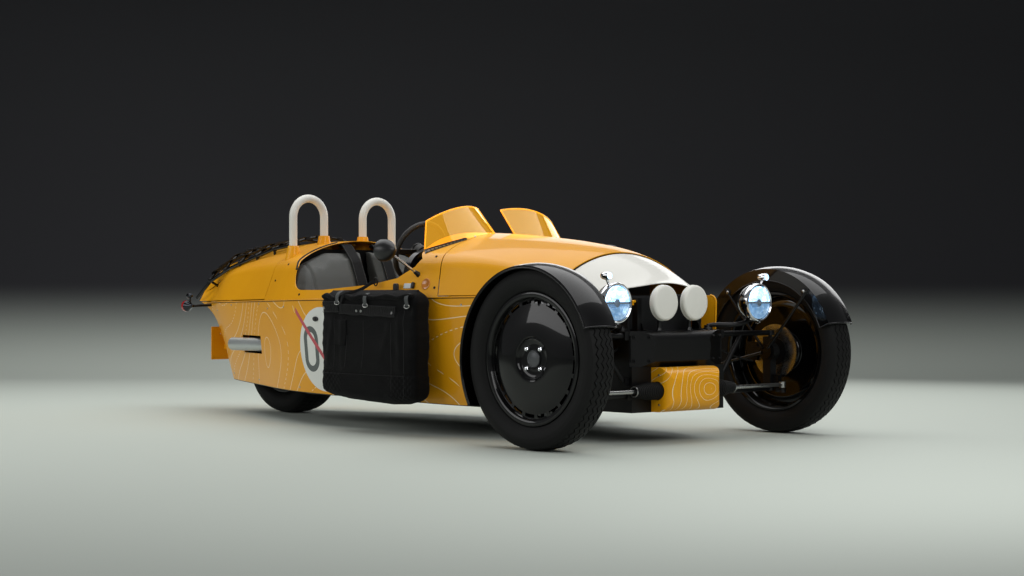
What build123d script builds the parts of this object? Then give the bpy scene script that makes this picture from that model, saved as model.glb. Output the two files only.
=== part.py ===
from build123d import *
from collections import namedtuple
import math
import os

# Three-wheeled open two-seater: two steered wheels in front and one wheel behind.
# Millimetres, X forward, Y to the left, Z up. Every piece is drawn with the front axle at
# X 0 and the ground at Z 0, and save() moves it so that the whole stands centred on X 0.

# Wheels and axles
wheelbase = 2705
front_track = 1514
kingpin_track = 1380
front_tyre_radius = 370
front_tyre_width = 137
rear_tyre_radius = 320
rear_tyre_width = 200
rim_clearance = 0.3
running_clearance = 0.06
part_gap = 0.3
moving_gap = 5
spindle_radius = 17
kingpin_radius = 9
rear_axle_radius = 12
brake_disc_radius = 125
brake_disc_thickness = 8

# Body skin and its cuts
skin = 3
belt_height = 630
belt_slope = 0.0118
floor_height = 127
floor_slope = 0.0140
side_tuck = 45
tail_narrowing = 0.75
tail_narrowing_from_x = -2400
nose_lip_x = 0
nose_plan_radius = 600
tail_end_x = -3460
side_front_x = -150
cowl_seam_x = -260
scuttle_seam_x = -1010
scuttle_seam_radius = 1120
lid_seam_x = -2345
cockpit_rear_x = -2125
cockpit_front_x = -1215
cockpit_side_z = 652
cockpit_corner_radius = 110

slot_ring_radius = 237
slot_count = 20
slot_depth = 9
slot_width = 30
upright_inner_y = 664
upright_thickness = 40
column_shaft_radius = 10

# Mudguards
guard_radius = 396
guard_edge_drop = 12
guard_width = 170
guard_skin = 3
guard_lip = 10
guard_inner_lip = 55
guard_forward_shift = -12
guard_down_shift = -7
guard_front_angle = 21
guard_rear_angle = 210
guard_stay_radius = 7
guard_stay_angles = (50, 130, 192)

# Front end
front_box_rear_x = -190
casting_half = 290
casting_face_half = 172
casting_wing_x = 52
casting_nose_x = 92
casting_round = 38
casting_chamfer = 22
casting_top_z = 475
casting_bottom_z = 325
front_box_half = 290
front_box_front_x = 66
lower_nose_half = 172
lower_nose_skin = 4
rack_x = 100
rack_z = 224
rack_bar_radius = 9
rack_tube_radius = 24
gaiter_radius = 33
gaiter_end_y = 312
tie_rod_end_y = 655
arm_drop = 22
wishbone_radius = 12
upper_arm_z = 456
lower_arm_z = 205
arm_spread = 48

lower_nose_rear_x = front_box_front_x
lower_nose_front_x = 168
lower_nose_top_z = 322
lower_nose_bottom_z = 134
lower_nose_round = 62
lower_nose_corner = 42
nose_notch_half = 122
nose_notch_depth = 20
nose_notch_length = 24
rack_eye_radius = 15
rack_eye_half = 13
steering_arm_radius = 9
upper_inner_x = 32
arm_foot = 18
arm_eye_radius = 20
arm_eye_half = 12
radiator_half = 198
radiator_rear_x = -96
radiator_front_x = -46
radiator_top_z = 625

# Hinges of the bonnet and the tail lid
bonnet_axis_x = 0
bonnet_axis_z = 600
bonnet_arm_y = 215
bonnet_arm_width = 16
bonnet_pin_radius = 6
lid_axis_x = -3474
lid_axis_z = 600
lid_pin_radius = 5
lid_pin_half = 40
hinge_rear_x = -3484
cowl_step = 6

# Lamps
headlamp_x = 142
headlamp_y = 449
headlamp_z = 594
headlamp_radius = 86
headlamp_depth = 120
rally_lamp_x = 75
rally_lamp_y = 95
rally_lamp_z = 594
rally_lamp_radius = 76
rally_lamp_depth = 62
tail_lamp_x = -3400
tail_lamp_y = 230
tail_lamp_z = 567
tail_lamp_radius = 32

# Cockpit
hoop_x = -2276
hoop_y = 223.5
hoop_half = 97.5
hoop_top_z = 1141
hoop_tube_radius = 20.5
steering_wheel_x = -1325
steering_wheel_y = -280
steering_wheel_z = 832
steering_wheel_radius = 140
steering_rim_radius = 13
column_angle = 22
column_length = 250
column_radius = 20
screen_thickness = 5
dash_front_x = -1085
dash_rear_x = -1120
dash_bottom_z = 700
firewall_x = -870
seat_gap = 12
engine_front_x = -280
engine_rear_x = -820
engine_half = 190
engine_top_z = 700
mirror_x = -1019
mirror_y = 720
mirror_z = 827
bag_front_x = -860
bag_rear_x = -1550
bag_depth = 118
bag_top_z = 642
bag_pad_length = 90
bag_bottom_z = 135

# Tail
plate_x = -3270
plate_half = 150
plate_bottom_z = 272
plate_top_z = 453
plate_thickness = 4
plate_hole_radius = 3
plate_hole_spacing = 180
plate_arm_length = 210
exhaust_z = 372
exhaust_y = -345
exhaust_radius = 34
exhaust_wall = 3
exhaust_tip_x = -2775
exhaust_slot_front_x = -2462
exhaust_slot_rear_x = -2752
muffler_rear_x = -2460
muffler_front_x = -2200
muffler_inner_y = -185
swing_pivot_x = -2240
swing_pivot_z = 300
swing_pivot_radius = 28
swing_half = 150
swing_arm_width = 28
bulkhead_x = -2160
bulkhead_thickness = 4
rear_arch_half = 135
rear_arch_gap = 30
carrier_rail_radius = 9
carrier_bar_radius = 7
carrier_front = (-2430, 222)
carrier_rear = (-3445, 128)
carrier_crown_gap = 32
carrier_rail = [(-2430, 885), (-2600, 868), (-2780, 834), (-3080, 772), (-3290, 705), (-3445, 612)]
# Cross bars from front to rear: x and the height of the rails there.
carrier_bars = [(-2450, 883), (-2600, 868), (-2780, 834), (-2960, 797), (-3120, 759), (-3290, 705)]

Tyre = namedtuple("Tyre", "radius width tread_half shoulder_drop bead_radius bead_half wall")
Rim = namedtuple("Rim", "seat_radius flange_height half_width barrel_skin face_y bore hub_radius")
Station = namedtuple("Station", "x half corner_half corner_z corner_round crown")

front_tyre = Tyre(front_tyre_radius, front_tyre_width, 58, 10, 256 + rim_clearance, 39, 12)
rear_tyre = Tyre(rear_tyre_radius, rear_tyre_width, 84, 12, 195 + rim_clearance, 68, 12)
front_rim = Rim(256, 14, 48, 6, 30, spindle_radius + running_clearance, 42)
rear_rim = Rim(195, 14, 78, 6, 10, rear_axle_radius + running_clearance, 45)

# Body sections from nose to tail: half width at the belt, the corner between the side and
# the crown, the rounding of that corner, and the height of the crown on the centre line.
body_stations = [
    Station(nose_lip_x, 252, 228, 641, 8, 687),
    Station(-130, 360, 322, 662, 30, 750),
    Station(cowl_seam_x, 440, 400, 680, 45, 815),
    Station(-450, 492, 440, 735, 70, 858),
    Station(-760, 560, 510, 785, 90, 896),
    Station(-1070, 583, 532, 802, 110, 920),
    Station(-1550, 583, 532, 800, 115, 925),
    Station(-2040, 545, 475, 785, 115, 906),
    Station(-2400, 432, 360, 775, 100, 903),
    Station(-2800, 318, 250, 755, 80, 872),
    Station(-3150, 205, 150, 720, 55, 822),
    Station(tail_end_x, 105, 75, 640, 25, 690),
]
# The slope of the tail below the belt, as seen from the side.
tail_slope = [(-3060, 150), (-3087, 233), (-3122, 368), (-3177, 428), (-3274, 490), (-3446, 592)]


def block(x0, x1, y0, y1, z0, z1):
    centre = Pos((x0 + x1) / 2, (y0 + y1) / 2, (z0 + z1) / 2)
    return centre * Box(x1 - x0, y1 - y0, z1 - z0)


def rod(start, end, radius):
    run = Vector(*end) - Vector(*start)
    upright = Cylinder(radius, run.length, align=(Align.CENTER, Align.CENTER, Align.MIN))
    return Plane(origin=start, z_dir=run) * upright


def tube_path(points, radius):
    # Straight round bars with a ball at each bend.
    shape = rod(points[0], points[1], radius)
    for start, end in zip(points[1:], points[2:]):
        shape += Pos(*start) * Sphere(radius)
        shape += rod(start, end, radius)
    return shape


def side_slab(points, half):
    # An outline seen from the side, as wide as half to each side of the centre line.
    return extrude(Plane.XZ * make_face(Polyline(*points, close=True)), amount=half, both=True)


def turned(points, axis_x, axis_y, axis_z):
    # A ring about an axis along Y: points are (y, radius).
    face = Plane.YZ * make_face(Polyline(*points, close=True))
    return Pos(axis_x, axis_y, axis_z) * revolve(face, Axis.Y)


def pointed_along_x(points, x, y, z):
    # A round body about an axis along X: points are (x, radius).
    face = Plane.XZ * make_face(Polyline(*points, close=True))
    return Pos(x, y, z) * revolve(face, Axis.X)


def other_side(shape):
    return mirror(shape, about=Plane.XZ)


def belt_z(x):
    return belt_height + belt_slope * x


def floor_z(x):
    return floor_height - floor_slope * x


# ---- body skin ----


def body_section(station, inset, x):
    half = station.half - inset
    narrowed = max(0, (tail_narrowing_from_x - x) / (tail_narrowing_from_x - tail_end_x))
    foot = (half - side_tuck) * (1 - tail_narrowing * narrowed**2)
    corner = (station.corner_half - inset, station.corner_z - inset)
    bottom = floor_z(x) + inset
    side = Polyline(
        (-corner[0], corner[1]),
        (-half, belt_z(x)),
        (-foot, bottom),
        (foot, bottom),
        (half, belt_z(x)),
        corner,
    )
    crown = ThreePointArc(corner, (0, station.crown - inset), (-corner[0], corner[1]))
    face = make_face(side.edges() + crown.edges())
    corners = face.vertices().filter_by(lambda v: abs(v.Y - corner[1]) < 0.01)
    face = fillet(corners, station.corner_round)
    return Plane.YZ.offset(x) * face


def body_volume(inset):
    # The outer form, or with an inset the room inside a skin of that thickness.
    places = [s.x for s in body_stations]
    places[-1] += inset
    faces = [body_section(s, inset, x) for s, x in zip(body_stations, places)]
    volume = loft(faces)
    slope = [(x + inset, z) for x, z in tail_slope]
    behind = slope + [(tail_end_x - 100, 592), (tail_end_x - 100, 0), (slope[0][0], 0)]
    return volume - side_slab(behind, 700)


def above_belt(low_shift):
    front, rear = nose_lip_x + 50, tail_end_x - 50
    outline = [
        (front, belt_z(front) + low_shift),
        (rear, belt_z(rear) + low_shift),
        (rear, 1500),
        (front, 1500),
    ]
    return side_slab(outline, 900)


def above_floor():
    front, rear = nose_lip_x + 50, tail_end_x - 50
    outline = [
        (front, floor_z(front) + skin),
        (rear, floor_z(rear) + skin),
        (rear, 1500),
        (front, 1500),
    ]
    return side_slab(outline, 900)


def between_x(front, rear):
    return block(rear, front, -900, 900, 0, 1500)


def cockpit_cut():
    # Seen from the side: low at the doors, with the scuttle reaching back over the front.
    outline = Polyline(
        (cockpit_rear_x, 1500),
        (cockpit_rear_x, 900),
        (-2090, 835),
        (-2010, 770),
        (-1995, cockpit_side_z),
        (-1700, cockpit_side_z),
        (-1330, cockpit_side_z + 24),
        (-1150, cockpit_side_z + 52),
        (-1042, cockpit_side_z + 103),
        (-1015, cockpit_side_z + 140),
        (cockpit_front_x, 935),
        (cockpit_front_x, 1500),
        close=True,
    )
    face = make_face(outline)
    low = face.vertices().filter_by(lambda v: abs(v.Y - cockpit_side_z) < 1)
    face = fillet(low.sort_by(Axis.X)[0], cockpit_corner_radius)
    return extrude(Plane.XZ * face, amount=900, both=True)


def scuttle_disc(radius):
    # What lies ahead of the curved seam between bonnet and scuttle.
    centre_x = scuttle_seam_x + scuttle_seam_radius
    disc = Pos(centre_x, 0, 750) * Cylinder(radius, 1500)
    return disc + block(centre_x, centre_x + 400, -900, 900, 0, 1500)


def rear_arch():
    # The opening in the floor for the rear wheel.
    reach = rear_tyre_radius + rear_arch_gap
    return block(-wheelbase - reach, -wheelbase + reach, -rear_arch_half, rear_arch_half, 0, 500)


body_outer = body_volume(0)
body_inner = body_volume(skin)
body_room = body_volume(skin + part_gap)
body_skin = body_outer - body_inner
upper_skin = body_skin & above_belt(part_gap)
lower_skin = body_skin & above_floor() & between_x(side_front_x, tail_end_x - 50)
lower_skin = lower_skin - above_belt(0)


def side_panel_left():
    return lower_skin & block(tail_end_x - 50, 0, part_gap / 2, 900, 0, 900)


def side_panel_right():
    panel = lower_skin & block(tail_end_x - 50, 0, -900, -part_gap / 2, 0, 900)
    reach = exhaust_radius + 12
    low, high = exhaust_z - reach, exhaust_z + reach
    return panel - block(exhaust_slot_rear_x, exhaust_slot_front_x, -600, -200, low, high)


def floor_pan():
    pan = body_outer - above_floor() - rear_arch()
    return pan & between_x(side_front_x, tail_end_x)


def nose_cowl():
    # Stepped in, so that the bonnet swings forward over it, with a foot on the side panels.
    outer = body_volume(cowl_step)
    shell = outer - body_volume(cowl_step + skin)
    foot = (body_outer - outer) & between_x(side_front_x, cowl_seam_x)
    shell += foot - above_belt(part_gap + skin)
    plan = Pos(nose_lip_x - nose_plan_radius, 0, 700) * Cylinder(nose_plan_radius, 800)
    plan += between_x(-130, cowl_seam_x)
    return shell & above_belt(part_gap) & between_x(nose_lip_x, cowl_seam_x) & plan


def bonnet_arm(y):
    # A bent arm from the hinge pin, under the cowl, up to the bonnet's skin.
    outline = [
        (bonnet_axis_x + 12, bonnet_axis_z + 8),
        (bonnet_axis_x + 8, bonnet_axis_z - 12),
        (-288, 490),
        (-304, 498),
        (-496, 790),
        (-496, 900),
        (-470, 900),
        (-470, 786),
        (-288, 512),
    ]
    plate = extrude(Plane.XZ * make_face(Polyline(*outline, close=True)), amount=-bonnet_arm_width)
    plate = Pos(0, y - bonnet_arm_width / 2, 0) * plate
    return plate & body_outer


def bonnet():
    panel = upper_skin & scuttle_disc(scuttle_seam_radius - moving_gap / 2)
    panel = panel & between_x(cowl_seam_x - moving_gap, scuttle_seam_x - 10)
    panel = panel & above_belt(moving_gap)
    for side in (1, -1):
        panel += bonnet_arm(side * bonnet_arm_y)
        outer = side * (bonnet_arm_y + bonnet_arm_width / 2)
        inner = side * (bonnet_arm_y - bonnet_arm_width / 2 - 28)
        pin_start = (bonnet_axis_x, inner, bonnet_axis_z)
        panel += rod(pin_start, (bonnet_axis_x, outer, bonnet_axis_z), bonnet_pin_radius)
    return panel


def cockpit_surround():
    panel = upper_skin - scuttle_disc(scuttle_seam_radius + moving_gap / 2)
    panel = panel & between_x(0, lid_seam_x)
    return panel - cockpit_cut()


def tail_lid():
    panel = body_skin & above_belt(moving_gap)
    panel = panel & between_x(lid_seam_x - moving_gap, tail_end_x - 50)
    pin_end = (lid_axis_x, lid_pin_half, lid_axis_z)
    panel += rod((lid_axis_x, -lid_pin_half, lid_axis_z), pin_end, lid_pin_radius)
    panel += block(lid_axis_x - 3, tail_end_x + skin, -15, 15, lid_axis_z - 5, lid_axis_z + 9)
    return panel


def lid_hinge():
    ears = block(hinge_rear_x, tail_end_x + 60, -lid_pin_half, lid_pin_half, 566, 586)
    ears += block(hinge_rear_x, lid_axis_x + 9, -lid_pin_half, lid_pin_half, 566, lid_axis_z + 10)
    ears -= block(hinge_rear_x - 5, tail_end_x + 60, -20, 20, lid_axis_z - 14, lid_axis_z + 20)
    bore_end = (lid_axis_x, 60, lid_axis_z)
    ears -= rod((lid_axis_x, -60, lid_axis_z), bore_end, lid_pin_radius + running_clearance)
    return ears - body_outer


# ---- wheels ----


def tyre_ring(size):
    half = size.width / 2
    shoulder_radius = size.radius - size.shoulder_drop
    bulge_radius = (size.bead_radius + shoulder_radius) / 2 + 6
    flange_top = size.bead_radius + 15
    wall = size.wall
    bead = (size.bead_half, size.bead_radius)
    knee = (size.bead_half, flange_top)
    shoulder = (size.tread_half, shoulder_radius)
    inner_bead = (size.bead_half - wall, size.bead_radius)
    inner_knee = (size.bead_half - wall, flange_top)
    inner_top = (size.tread_half - wall, shoulder_radius - wall)
    side = [
        Line(bead, knee),
        ThreePointArc(knee, (half, bulge_radius), shoulder),
        Line(bead, inner_bead),
        Line(inner_bead, inner_knee),
        ThreePointArc(inner_knee, (half - wall, bulge_radius), inner_top),
    ]
    crown = ThreePointArc(shoulder, (0, size.radius), (-shoulder[0], shoulder[1]))
    ceiling = Line(inner_top, (-inner_top[0], inner_top[1]))
    lines = side + [mirror(line, about=Plane.YZ) for line in side] + [crown, ceiling]
    face = make_face([edge for line in lines for edge in line.edges()])
    return revolve(Plane.YZ * face, Axis.Y)


def rim_barrel(size):
    seat = size.seat_radius
    inner = seat - size.barrel_skin
    half = size.half_width
    lip = seat + size.flange_height
    flange = [(half - 8, seat), (half - 4, lip), (half, lip), (half, lip - 8), (half - 4, inner)]
    other = [(-y, r) for y, r in reversed(flange)]
    return turned(flange + other, 0, 0, 0)


def front_wheel():
    # Drawn for the left wheel, whose closed face looks to +Y.
    rim = front_rim
    face_y = rim.face_y
    bore = rim.bore
    disc = [
        (face_y, rim.seat_radius - 5),
        (face_y + 12, 130),
        (face_y + 12, 60),
        (face_y - 6, 54),
        (face_y - 6, 0),
        (face_y - 11, 0),
        (face_y - 11, 58),
        (face_y + 7, 64),
        (face_y + 7, 128),
        (face_y - 5, rim.seat_radius - 5),
    ]
    wheel = rim_barrel(rim) + turned(disc, 0, 0, 0)
    hub = [(-22, bore), (face_y - 9, bore), (face_y - 9, rim.hub_radius), (-22, rim.hub_radius)]
    wheel += turned(hub, 0, 0, 0)
    brake_y = -34
    brake = [
        (brake_y, rim.hub_radius - 2),
        (brake_y, brake_disc_radius),
        (brake_y + brake_disc_thickness, brake_disc_radius),
        (brake_y + brake_disc_thickness, 62),
        (-12, 62),
        (-12, rim.hub_radius - 2),
        (-22, rim.hub_radius - 2),
        (-22, 54),
        (brake_y + brake_disc_thickness - 3, 54),
        (brake_y + brake_disc_thickness - 3, rim.hub_radius - 2),
    ]
    wheel += turned(brake, 0, 0, 0)
    slots = PolarLocations(slot_ring_radius, slot_count, rotate=True)
    for place in slots:
        cutter = place * Box(slot_depth, slot_width, 60)
        wheel -= Pos(0, face_y, 0) * (Rot(90, 0, 0) * cutter)
    return wheel


def rear_wheel():
    rim = rear_rim
    bore = rim.bore
    disc = [(-6, rim.hub_radius - 1), (-6, rim.seat_radius - 5), (4, rim.seat_radius - 5)]
    disc += [(4, rim.hub_radius - 1)]
    hub = [(-92, bore), (92, bore), (92, rim.hub_radius), (-92, rim.hub_radius)]
    return rim_barrel(rim) + turned(disc, 0, 0, 0) + turned(hub, 0, 0, 0)


# ---- steering and suspension ----


def front_guard():
    # A curved mudguard with a lip outside and a deeper cheek inside, on round stays.
    half = guard_width / 2
    edge = guard_radius - guard_edge_drop
    inner_half = half - guard_skin
    inner_edge = edge - guard_skin
    outer = ThreePointArc((-half, edge), (0, guard_radius), (half, edge))

    def lip(side, depth):
        low = edge - depth
        line = Polyline((side * half, edge), (side * half, low), (side * inner_half, low))
        return line + Line((side * inner_half, low), (side * inner_half, inner_edge))

    roof = ThreePointArc(
        (inner_half, inner_edge), (0, guard_radius - guard_skin), (-inner_half, inner_edge)
    )
    outboard = lip(1, guard_lip)
    inboard = lip(-1, guard_inner_lip)
    face = make_face(outer.edges() + outboard.edges() + roof.edges() + inboard.edges())
    sweep_angle = guard_rear_angle - guard_front_angle
    guard = revolve(Plane.YZ * face, Axis.Y, sweep_angle)
    guard = Rot(0, 90 - guard_rear_angle, 0) * guard
    wheel_y = front_track / 2
    guard = Pos(guard_forward_shift, wheel_y, front_tyre_radius + guard_down_shift) * guard
    stay_y = upright_inner_y - 10
    plate_end = (0, upright_inner_y, front_tyre_radius)
    guard += rod((0, stay_y, front_tyre_radius), plate_end, 34)
    for angle in guard_stay_angles:
        across = math.cos(math.radians(angle))
        up = math.sin(math.radians(angle))
        start = (20 * across, stay_y + 1, front_tyre_radius + 20 * up)
        reach = guard_radius - guard_edge_drop - 6
        end_x = guard_forward_shift + reach * across
        end_z = front_tyre_radius + guard_down_shift + reach * up
        guard += rod(start, (end_x, wheel_y - half + 2, end_z), guard_stay_radius)
    return guard


def knuckle():
    # The left upright with its spindle, kingpins, caliper and steering arm.
    y0, y1 = upright_inner_y, upright_inner_y + upright_thickness
    kingpin_y = kingpin_track / 2
    low = lower_arm_z + arm_eye_half + moving_gap
    high = upper_arm_z - arm_eye_half - moving_gap
    upright = block(-22, 22, y0, y1, low, high)
    upright += rod((0, y0, front_tyre_radius), (0, y1, front_tyre_radius), 44)
    spindle_end = (0, front_track / 2 + front_rim.face_y - 17, front_tyre_radius)
    upright += rod((0, y1 - 5, front_tyre_radius), spindle_end, spindle_radius)
    upright += rod((0, kingpin_y, low + 10), (0, kingpin_y, low - 28), kingpin_radius)
    upright += rod((0, kingpin_y, high - 10), (0, kingpin_y, high + 28), kingpin_radius)
    arm_z = rack_z - rack_eye_half - moving_gap - steering_arm_radius
    low_z, high_z = arm_z - steering_arm_radius, arm_z + steering_arm_radius
    upright += block(10, 54, kingpin_y - 10, kingpin_y + 14, low + 4, low + 44)
    upright += block(38, 54, kingpin_y - 10, kingpin_y + 14, low_z, low + 44)
    lever = [
        (38, kingpin_y - 10),
        (rack_x, tie_rod_end_y - 11),
        (rack_x, tie_rod_end_y + 11),
        (54, kingpin_y + 14),
        (38, kingpin_y + 14),
    ]
    plate = extrude(make_face(Polyline(*lever, close=True)), amount=2 * steering_arm_radius)
    upright += Pos(0, 0, low_z) * plate
    eye_low = (rack_x, tie_rod_end_y, arm_z - steering_arm_radius)
    upright += rod(eye_low, (rack_x, tie_rod_end_y, high_z), rack_eye_radius)
    disc_y = front_track / 2 - 34
    inner = disc_y - moving_gap
    outer = disc_y + brake_disc_thickness + moving_gap
    low_z, high_z = front_tyre_radius - 42, front_tyre_radius + 42
    caliper = block(-152, -92, inner - 12, outer + 12, low_z, high_z)
    room = turned([(inner, 0), (outer, 0), (outer, 131), (inner, 131)], 0, 0, front_tyre_radius)
    caliper -= room
    carrier = block(-120, -20, y1 - 14, inner - 0.01, low_z + 20, high_z - 20)
    return upright + (caliper + carrier)


def arm_foot_block(x, y, z, half):
    return block(x - half, x + half, y, y + 24, z - half, z + half)


def suspension():
    # The left pair of wishbones and the pull rod, with their feet on the frame.
    kingpin_y = kingpin_track / 2
    pieces = Part()
    upper_y, lower_y = casting_half, front_box_half
    arms = [(upper_inner_x, upper_y, upper_arm_z), (arm_spread, lower_y, lower_arm_z)]
    for spread, inner_y, z in arms:
        for x in (-spread, spread):
            pieces += rod((x, inner_y + 6, z), (0, kingpin_y, z), wishbone_radius)
            pieces += arm_foot_block(x, inner_y, z, arm_foot)
        eye_top = (0, kingpin_y, z + arm_eye_half)
        pieces += rod((0, kingpin_y, z - arm_eye_half), eye_top, arm_eye_radius)
        bore = kingpin_radius + running_clearance
        pieces -= rod((0, kingpin_y, z - 40), (0, kingpin_y, z + 40), bore)
    pull_top = (upper_inner_x * 0.66, 462, upper_arm_z - 2)
    pieces += rod(pull_top, (32, lower_y + 14, 262), 11)
    pieces += block(14, 50, lower_y, lower_y + 22, 246, 278)
    return pieces


def rack_bar():
    # The sliding rack with both tie rods and their outer eyes.
    end = tie_rod_end_y
    bar = rod((rack_x, -end, rack_z), (rack_x, end, rack_z), rack_bar_radius)
    for y in (-end, end):
        low = (rack_x, y, rack_z - rack_eye_half)
        bar += rod(low, (rack_x, y, rack_z + rack_eye_half), rack_eye_radius)
    return bar


def rack_housing():
    half = lower_nose_half + 2
    housing = rod((rack_x, -half, rack_z), (rack_x, half, rack_z), rack_tube_radius)
    for side in (1, -1):
        gaiter = [
            (side * (half - 30), 0),
            (side * (half - 30), gaiter_radius),
            (side * (half + 60), gaiter_radius),
            (side * gaiter_end_y, 20),
            (side * gaiter_end_y, 0),
        ]
        housing += turned(gaiter, rack_x, 0, rack_z)
        foot = sorted((side * 110, side * 150))
        housing += block(front_box_front_x, rack_x, foot[0], foot[1], rack_z - 18, rack_z + 18)
    bore = rack_bar_radius + running_clearance
    return housing - rod((rack_x, -400, rack_z), (rack_x, 400, rack_z), bore)


def steering_axis_point(distance):
    # A point on the column, measured from the wheel's centre towards the front.
    along = distance * math.cos(math.radians(column_angle))
    down = distance * math.sin(math.radians(column_angle))
    return (steering_wheel_x + along, steering_wheel_y, steering_wheel_z - down)


def steering_wheel():
    plane = Plane(
        origin=steering_axis_point(0),
        x_dir=(0, 1, 0),
        z_dir=Vector(*steering_axis_point(1)) - Vector(*steering_axis_point(0)),
    )
    wheel = plane * Torus(steering_wheel_radius, steering_rim_radius)
    for angle in (0, 180, 270):
        spoke = Rot(0, 0, angle) * Pos(steering_wheel_radius / 2, 0, 4)
        wheel += plane * (spoke * Box(steering_wheel_radius - 10, 26, 6))
    wheel += plane * (Pos(0, 0, 5) * Cylinder(34, 36))
    shaft_end = steering_axis_point(column_length - 60)
    return wheel + rod(steering_axis_point(10), shaft_end, column_shaft_radius)


def steering_column():
    column = rod(steering_axis_point(30), steering_axis_point(column_length + 40), column_radius)
    bore_end = steering_axis_point(column_length - 55)
    column -= rod(steering_axis_point(0), bore_end, column_shaft_radius + running_clearance)
    return column - block(dash_rear_x, 0, -900, 900, 0, 1500)


# ---- front end ----


def front_casting():
    # The cross casting: a level face between two swept wings, rounded along its top.
    plan = [(front_box_rear_x, -casting_half), (casting_wing_x, -casting_half)]
    plan += [(casting_nose_x, -casting_face_half), (casting_nose_x, casting_face_half)]
    plan += [(casting_wing_x, casting_half), (front_box_rear_x, casting_half)]
    wide = extrude(make_face(Polyline(*plan, close=True)), amount=casting_top_z)
    outline = Polyline(
        (front_box_rear_x, casting_bottom_z),
        (casting_nose_x - casting_chamfer, casting_bottom_z),
        (casting_nose_x, casting_bottom_z + casting_chamfer),
        (casting_nose_x, casting_top_z),
        (front_box_rear_x, casting_top_z),
        close=True,
    )
    face = make_face(outline)
    front = face.vertices().filter_by(lambda v: v.X > casting_nose_x - 1)
    face = fillet(front.sort_by(Axis.Y)[-1], casting_round)
    return wide & extrude(Plane.XZ * face, amount=casting_half, both=True)


def front_box():
    # The lower frame box, open at the back.
    half = front_box_half
    bottom = floor_z(front_box_rear_x) + skin + part_gap
    outer = block(front_box_rear_x, front_box_front_x, -half, half, bottom, casting_bottom_z)
    room = half - 6
    inner = block(
        front_box_rear_x - 10,
        front_box_front_x - 6,
        -room,
        room,
        bottom + 6,
        casting_bottom_z - 6,
    )
    return outer - inner


def lower_nose():
    def form(inset):
        outline = Polyline(
            (lower_nose_rear_x, lower_nose_top_z - inset),
            (lower_nose_front_x - inset, lower_nose_top_z - inset),
            (lower_nose_front_x - inset, lower_nose_bottom_z + inset),
            (lower_nose_rear_x, lower_nose_bottom_z + inset),
            close=True,
        )
        face = make_face(outline)
        front = face.vertices().filter_by(lambda v: v.X > lower_nose_rear_x + 1)
        face = fillet(front, lower_nose_round - inset)
        long = extrude(Plane.XZ * face, amount=lower_nose_half - inset, both=True)
        corner = lower_nose_corner - inset
        width = 2 * (lower_nose_half - inset)
        plan = Pos(lower_nose_front_x - inset - 150, 0, 0) * Rectangle(300, width)
        ends = plan.vertices().filter_by(lambda v: v.X > 0)
        return long & extrude(fillet(ends, corner), amount=500)

    shell = form(0) - form(lower_nose_skin)
    notch_x = lower_nose_rear_x + nose_notch_length
    notch_z = lower_nose_top_z - nose_notch_depth
    half = nose_notch_half
    shell -= block(0, notch_x, -half, half, notch_z, lower_nose_top_z + 1)
    hole = gaiter_radius + 6
    return shell - rod((rack_x, -300, rack_z), (rack_x, 300, rack_z), hole)


def radiator():
    return block(
        radiator_rear_x,
        radiator_front_x,
        -radiator_half,
        radiator_half,
        casting_top_z,
        radiator_top_z,
    )


def bonnet_bracket(side):
    inner = bonnet_arm_y - bonnet_arm_width / 2 - 30
    outer = bonnet_arm_y - bonnet_arm_width / 2 - 5
    y0, y1 = sorted((side * inner, side * outer))
    bracket = block(bonnet_axis_x - 15, bonnet_axis_x + 15, y0, y1, casting_top_z, bonnet_axis_z + 14)
    bore = bonnet_pin_radius + running_clearance
    start = (bonnet_axis_x, -500, bonnet_axis_z)
    return bracket - rod(start, (bonnet_axis_x, 500, bonnet_axis_z), bore)


def engine():
    clear = skin + part_gap
    outline = [
        (engine_front_x, floor_z(engine_front_x) + clear),
        (engine_rear_x, floor_z(engine_rear_x) + clear),
        (engine_rear_x, engine_top_z),
        (engine_front_x, engine_top_z),
    ]
    return side_slab(outline, engine_half)


# ---- lamps ----


def headlamp():
    # The left lamp with its stem to the casting and the small lamp on top.
    bowl = [
        (-headlamp_depth, 0),
        (-headlamp_depth + 3, 26),
        (-headlamp_depth + 26, 58),
        (-40, headlamp_radius - 4),
        (-8, headlamp_radius),
        (0, headlamp_radius - 4),
        (0, 0),
    ]
    lamp = pointed_along_x(bowl, headlamp_x, headlamp_y, headlamp_z)
    stem = [
        (headlamp_x - 60, headlamp_y - 6, headlamp_z - 50),
        (headlamp_x - 76, headlamp_y - 60, casting_top_z + 26),
        (-10, casting_half - 17, casting_top_z + 16),
    ]
    lamp += tube_path(stem, 11)
    foot_y = casting_half - 2
    lamp += block(-40, 18, foot_y - 43, foot_y, casting_top_z, casting_top_z + 14)
    top = (headlamp_x - 24, headlamp_y + 48, headlamp_z + 112)
    lamp += rod((headlamp_x - 24, headlamp_y + 24, headlamp_z + 68), top, 6)
    lamp += rod((top[0] - 28, top[1], top[2]), (top[0] + 26, top[1], top[2]), 17)
    return lamp


def rally_lamp(side):
    cover = [
        (-rally_lamp_depth, 0),
        (-rally_lamp_depth + 4, 34),
        (-16, rally_lamp_radius - 6),
        (-10, rally_lamp_radius),
        (2, rally_lamp_radius),
        (12, rally_lamp_radius - 12),
        (14, 0),
    ]
    y = side * rally_lamp_y
    lamp = pointed_along_x(cover, rally_lamp_x, y, rally_lamp_z)
    foot_x = rally_lamp_x - 34
    lamp += rod((foot_x, y, rally_lamp_z - 50), (foot_x, y, casting_top_z), 9)
    lamp += rod((foot_x, y, casting_top_z + 6), (foot_x, y, casting_top_z), 14)
    return lamp


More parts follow.
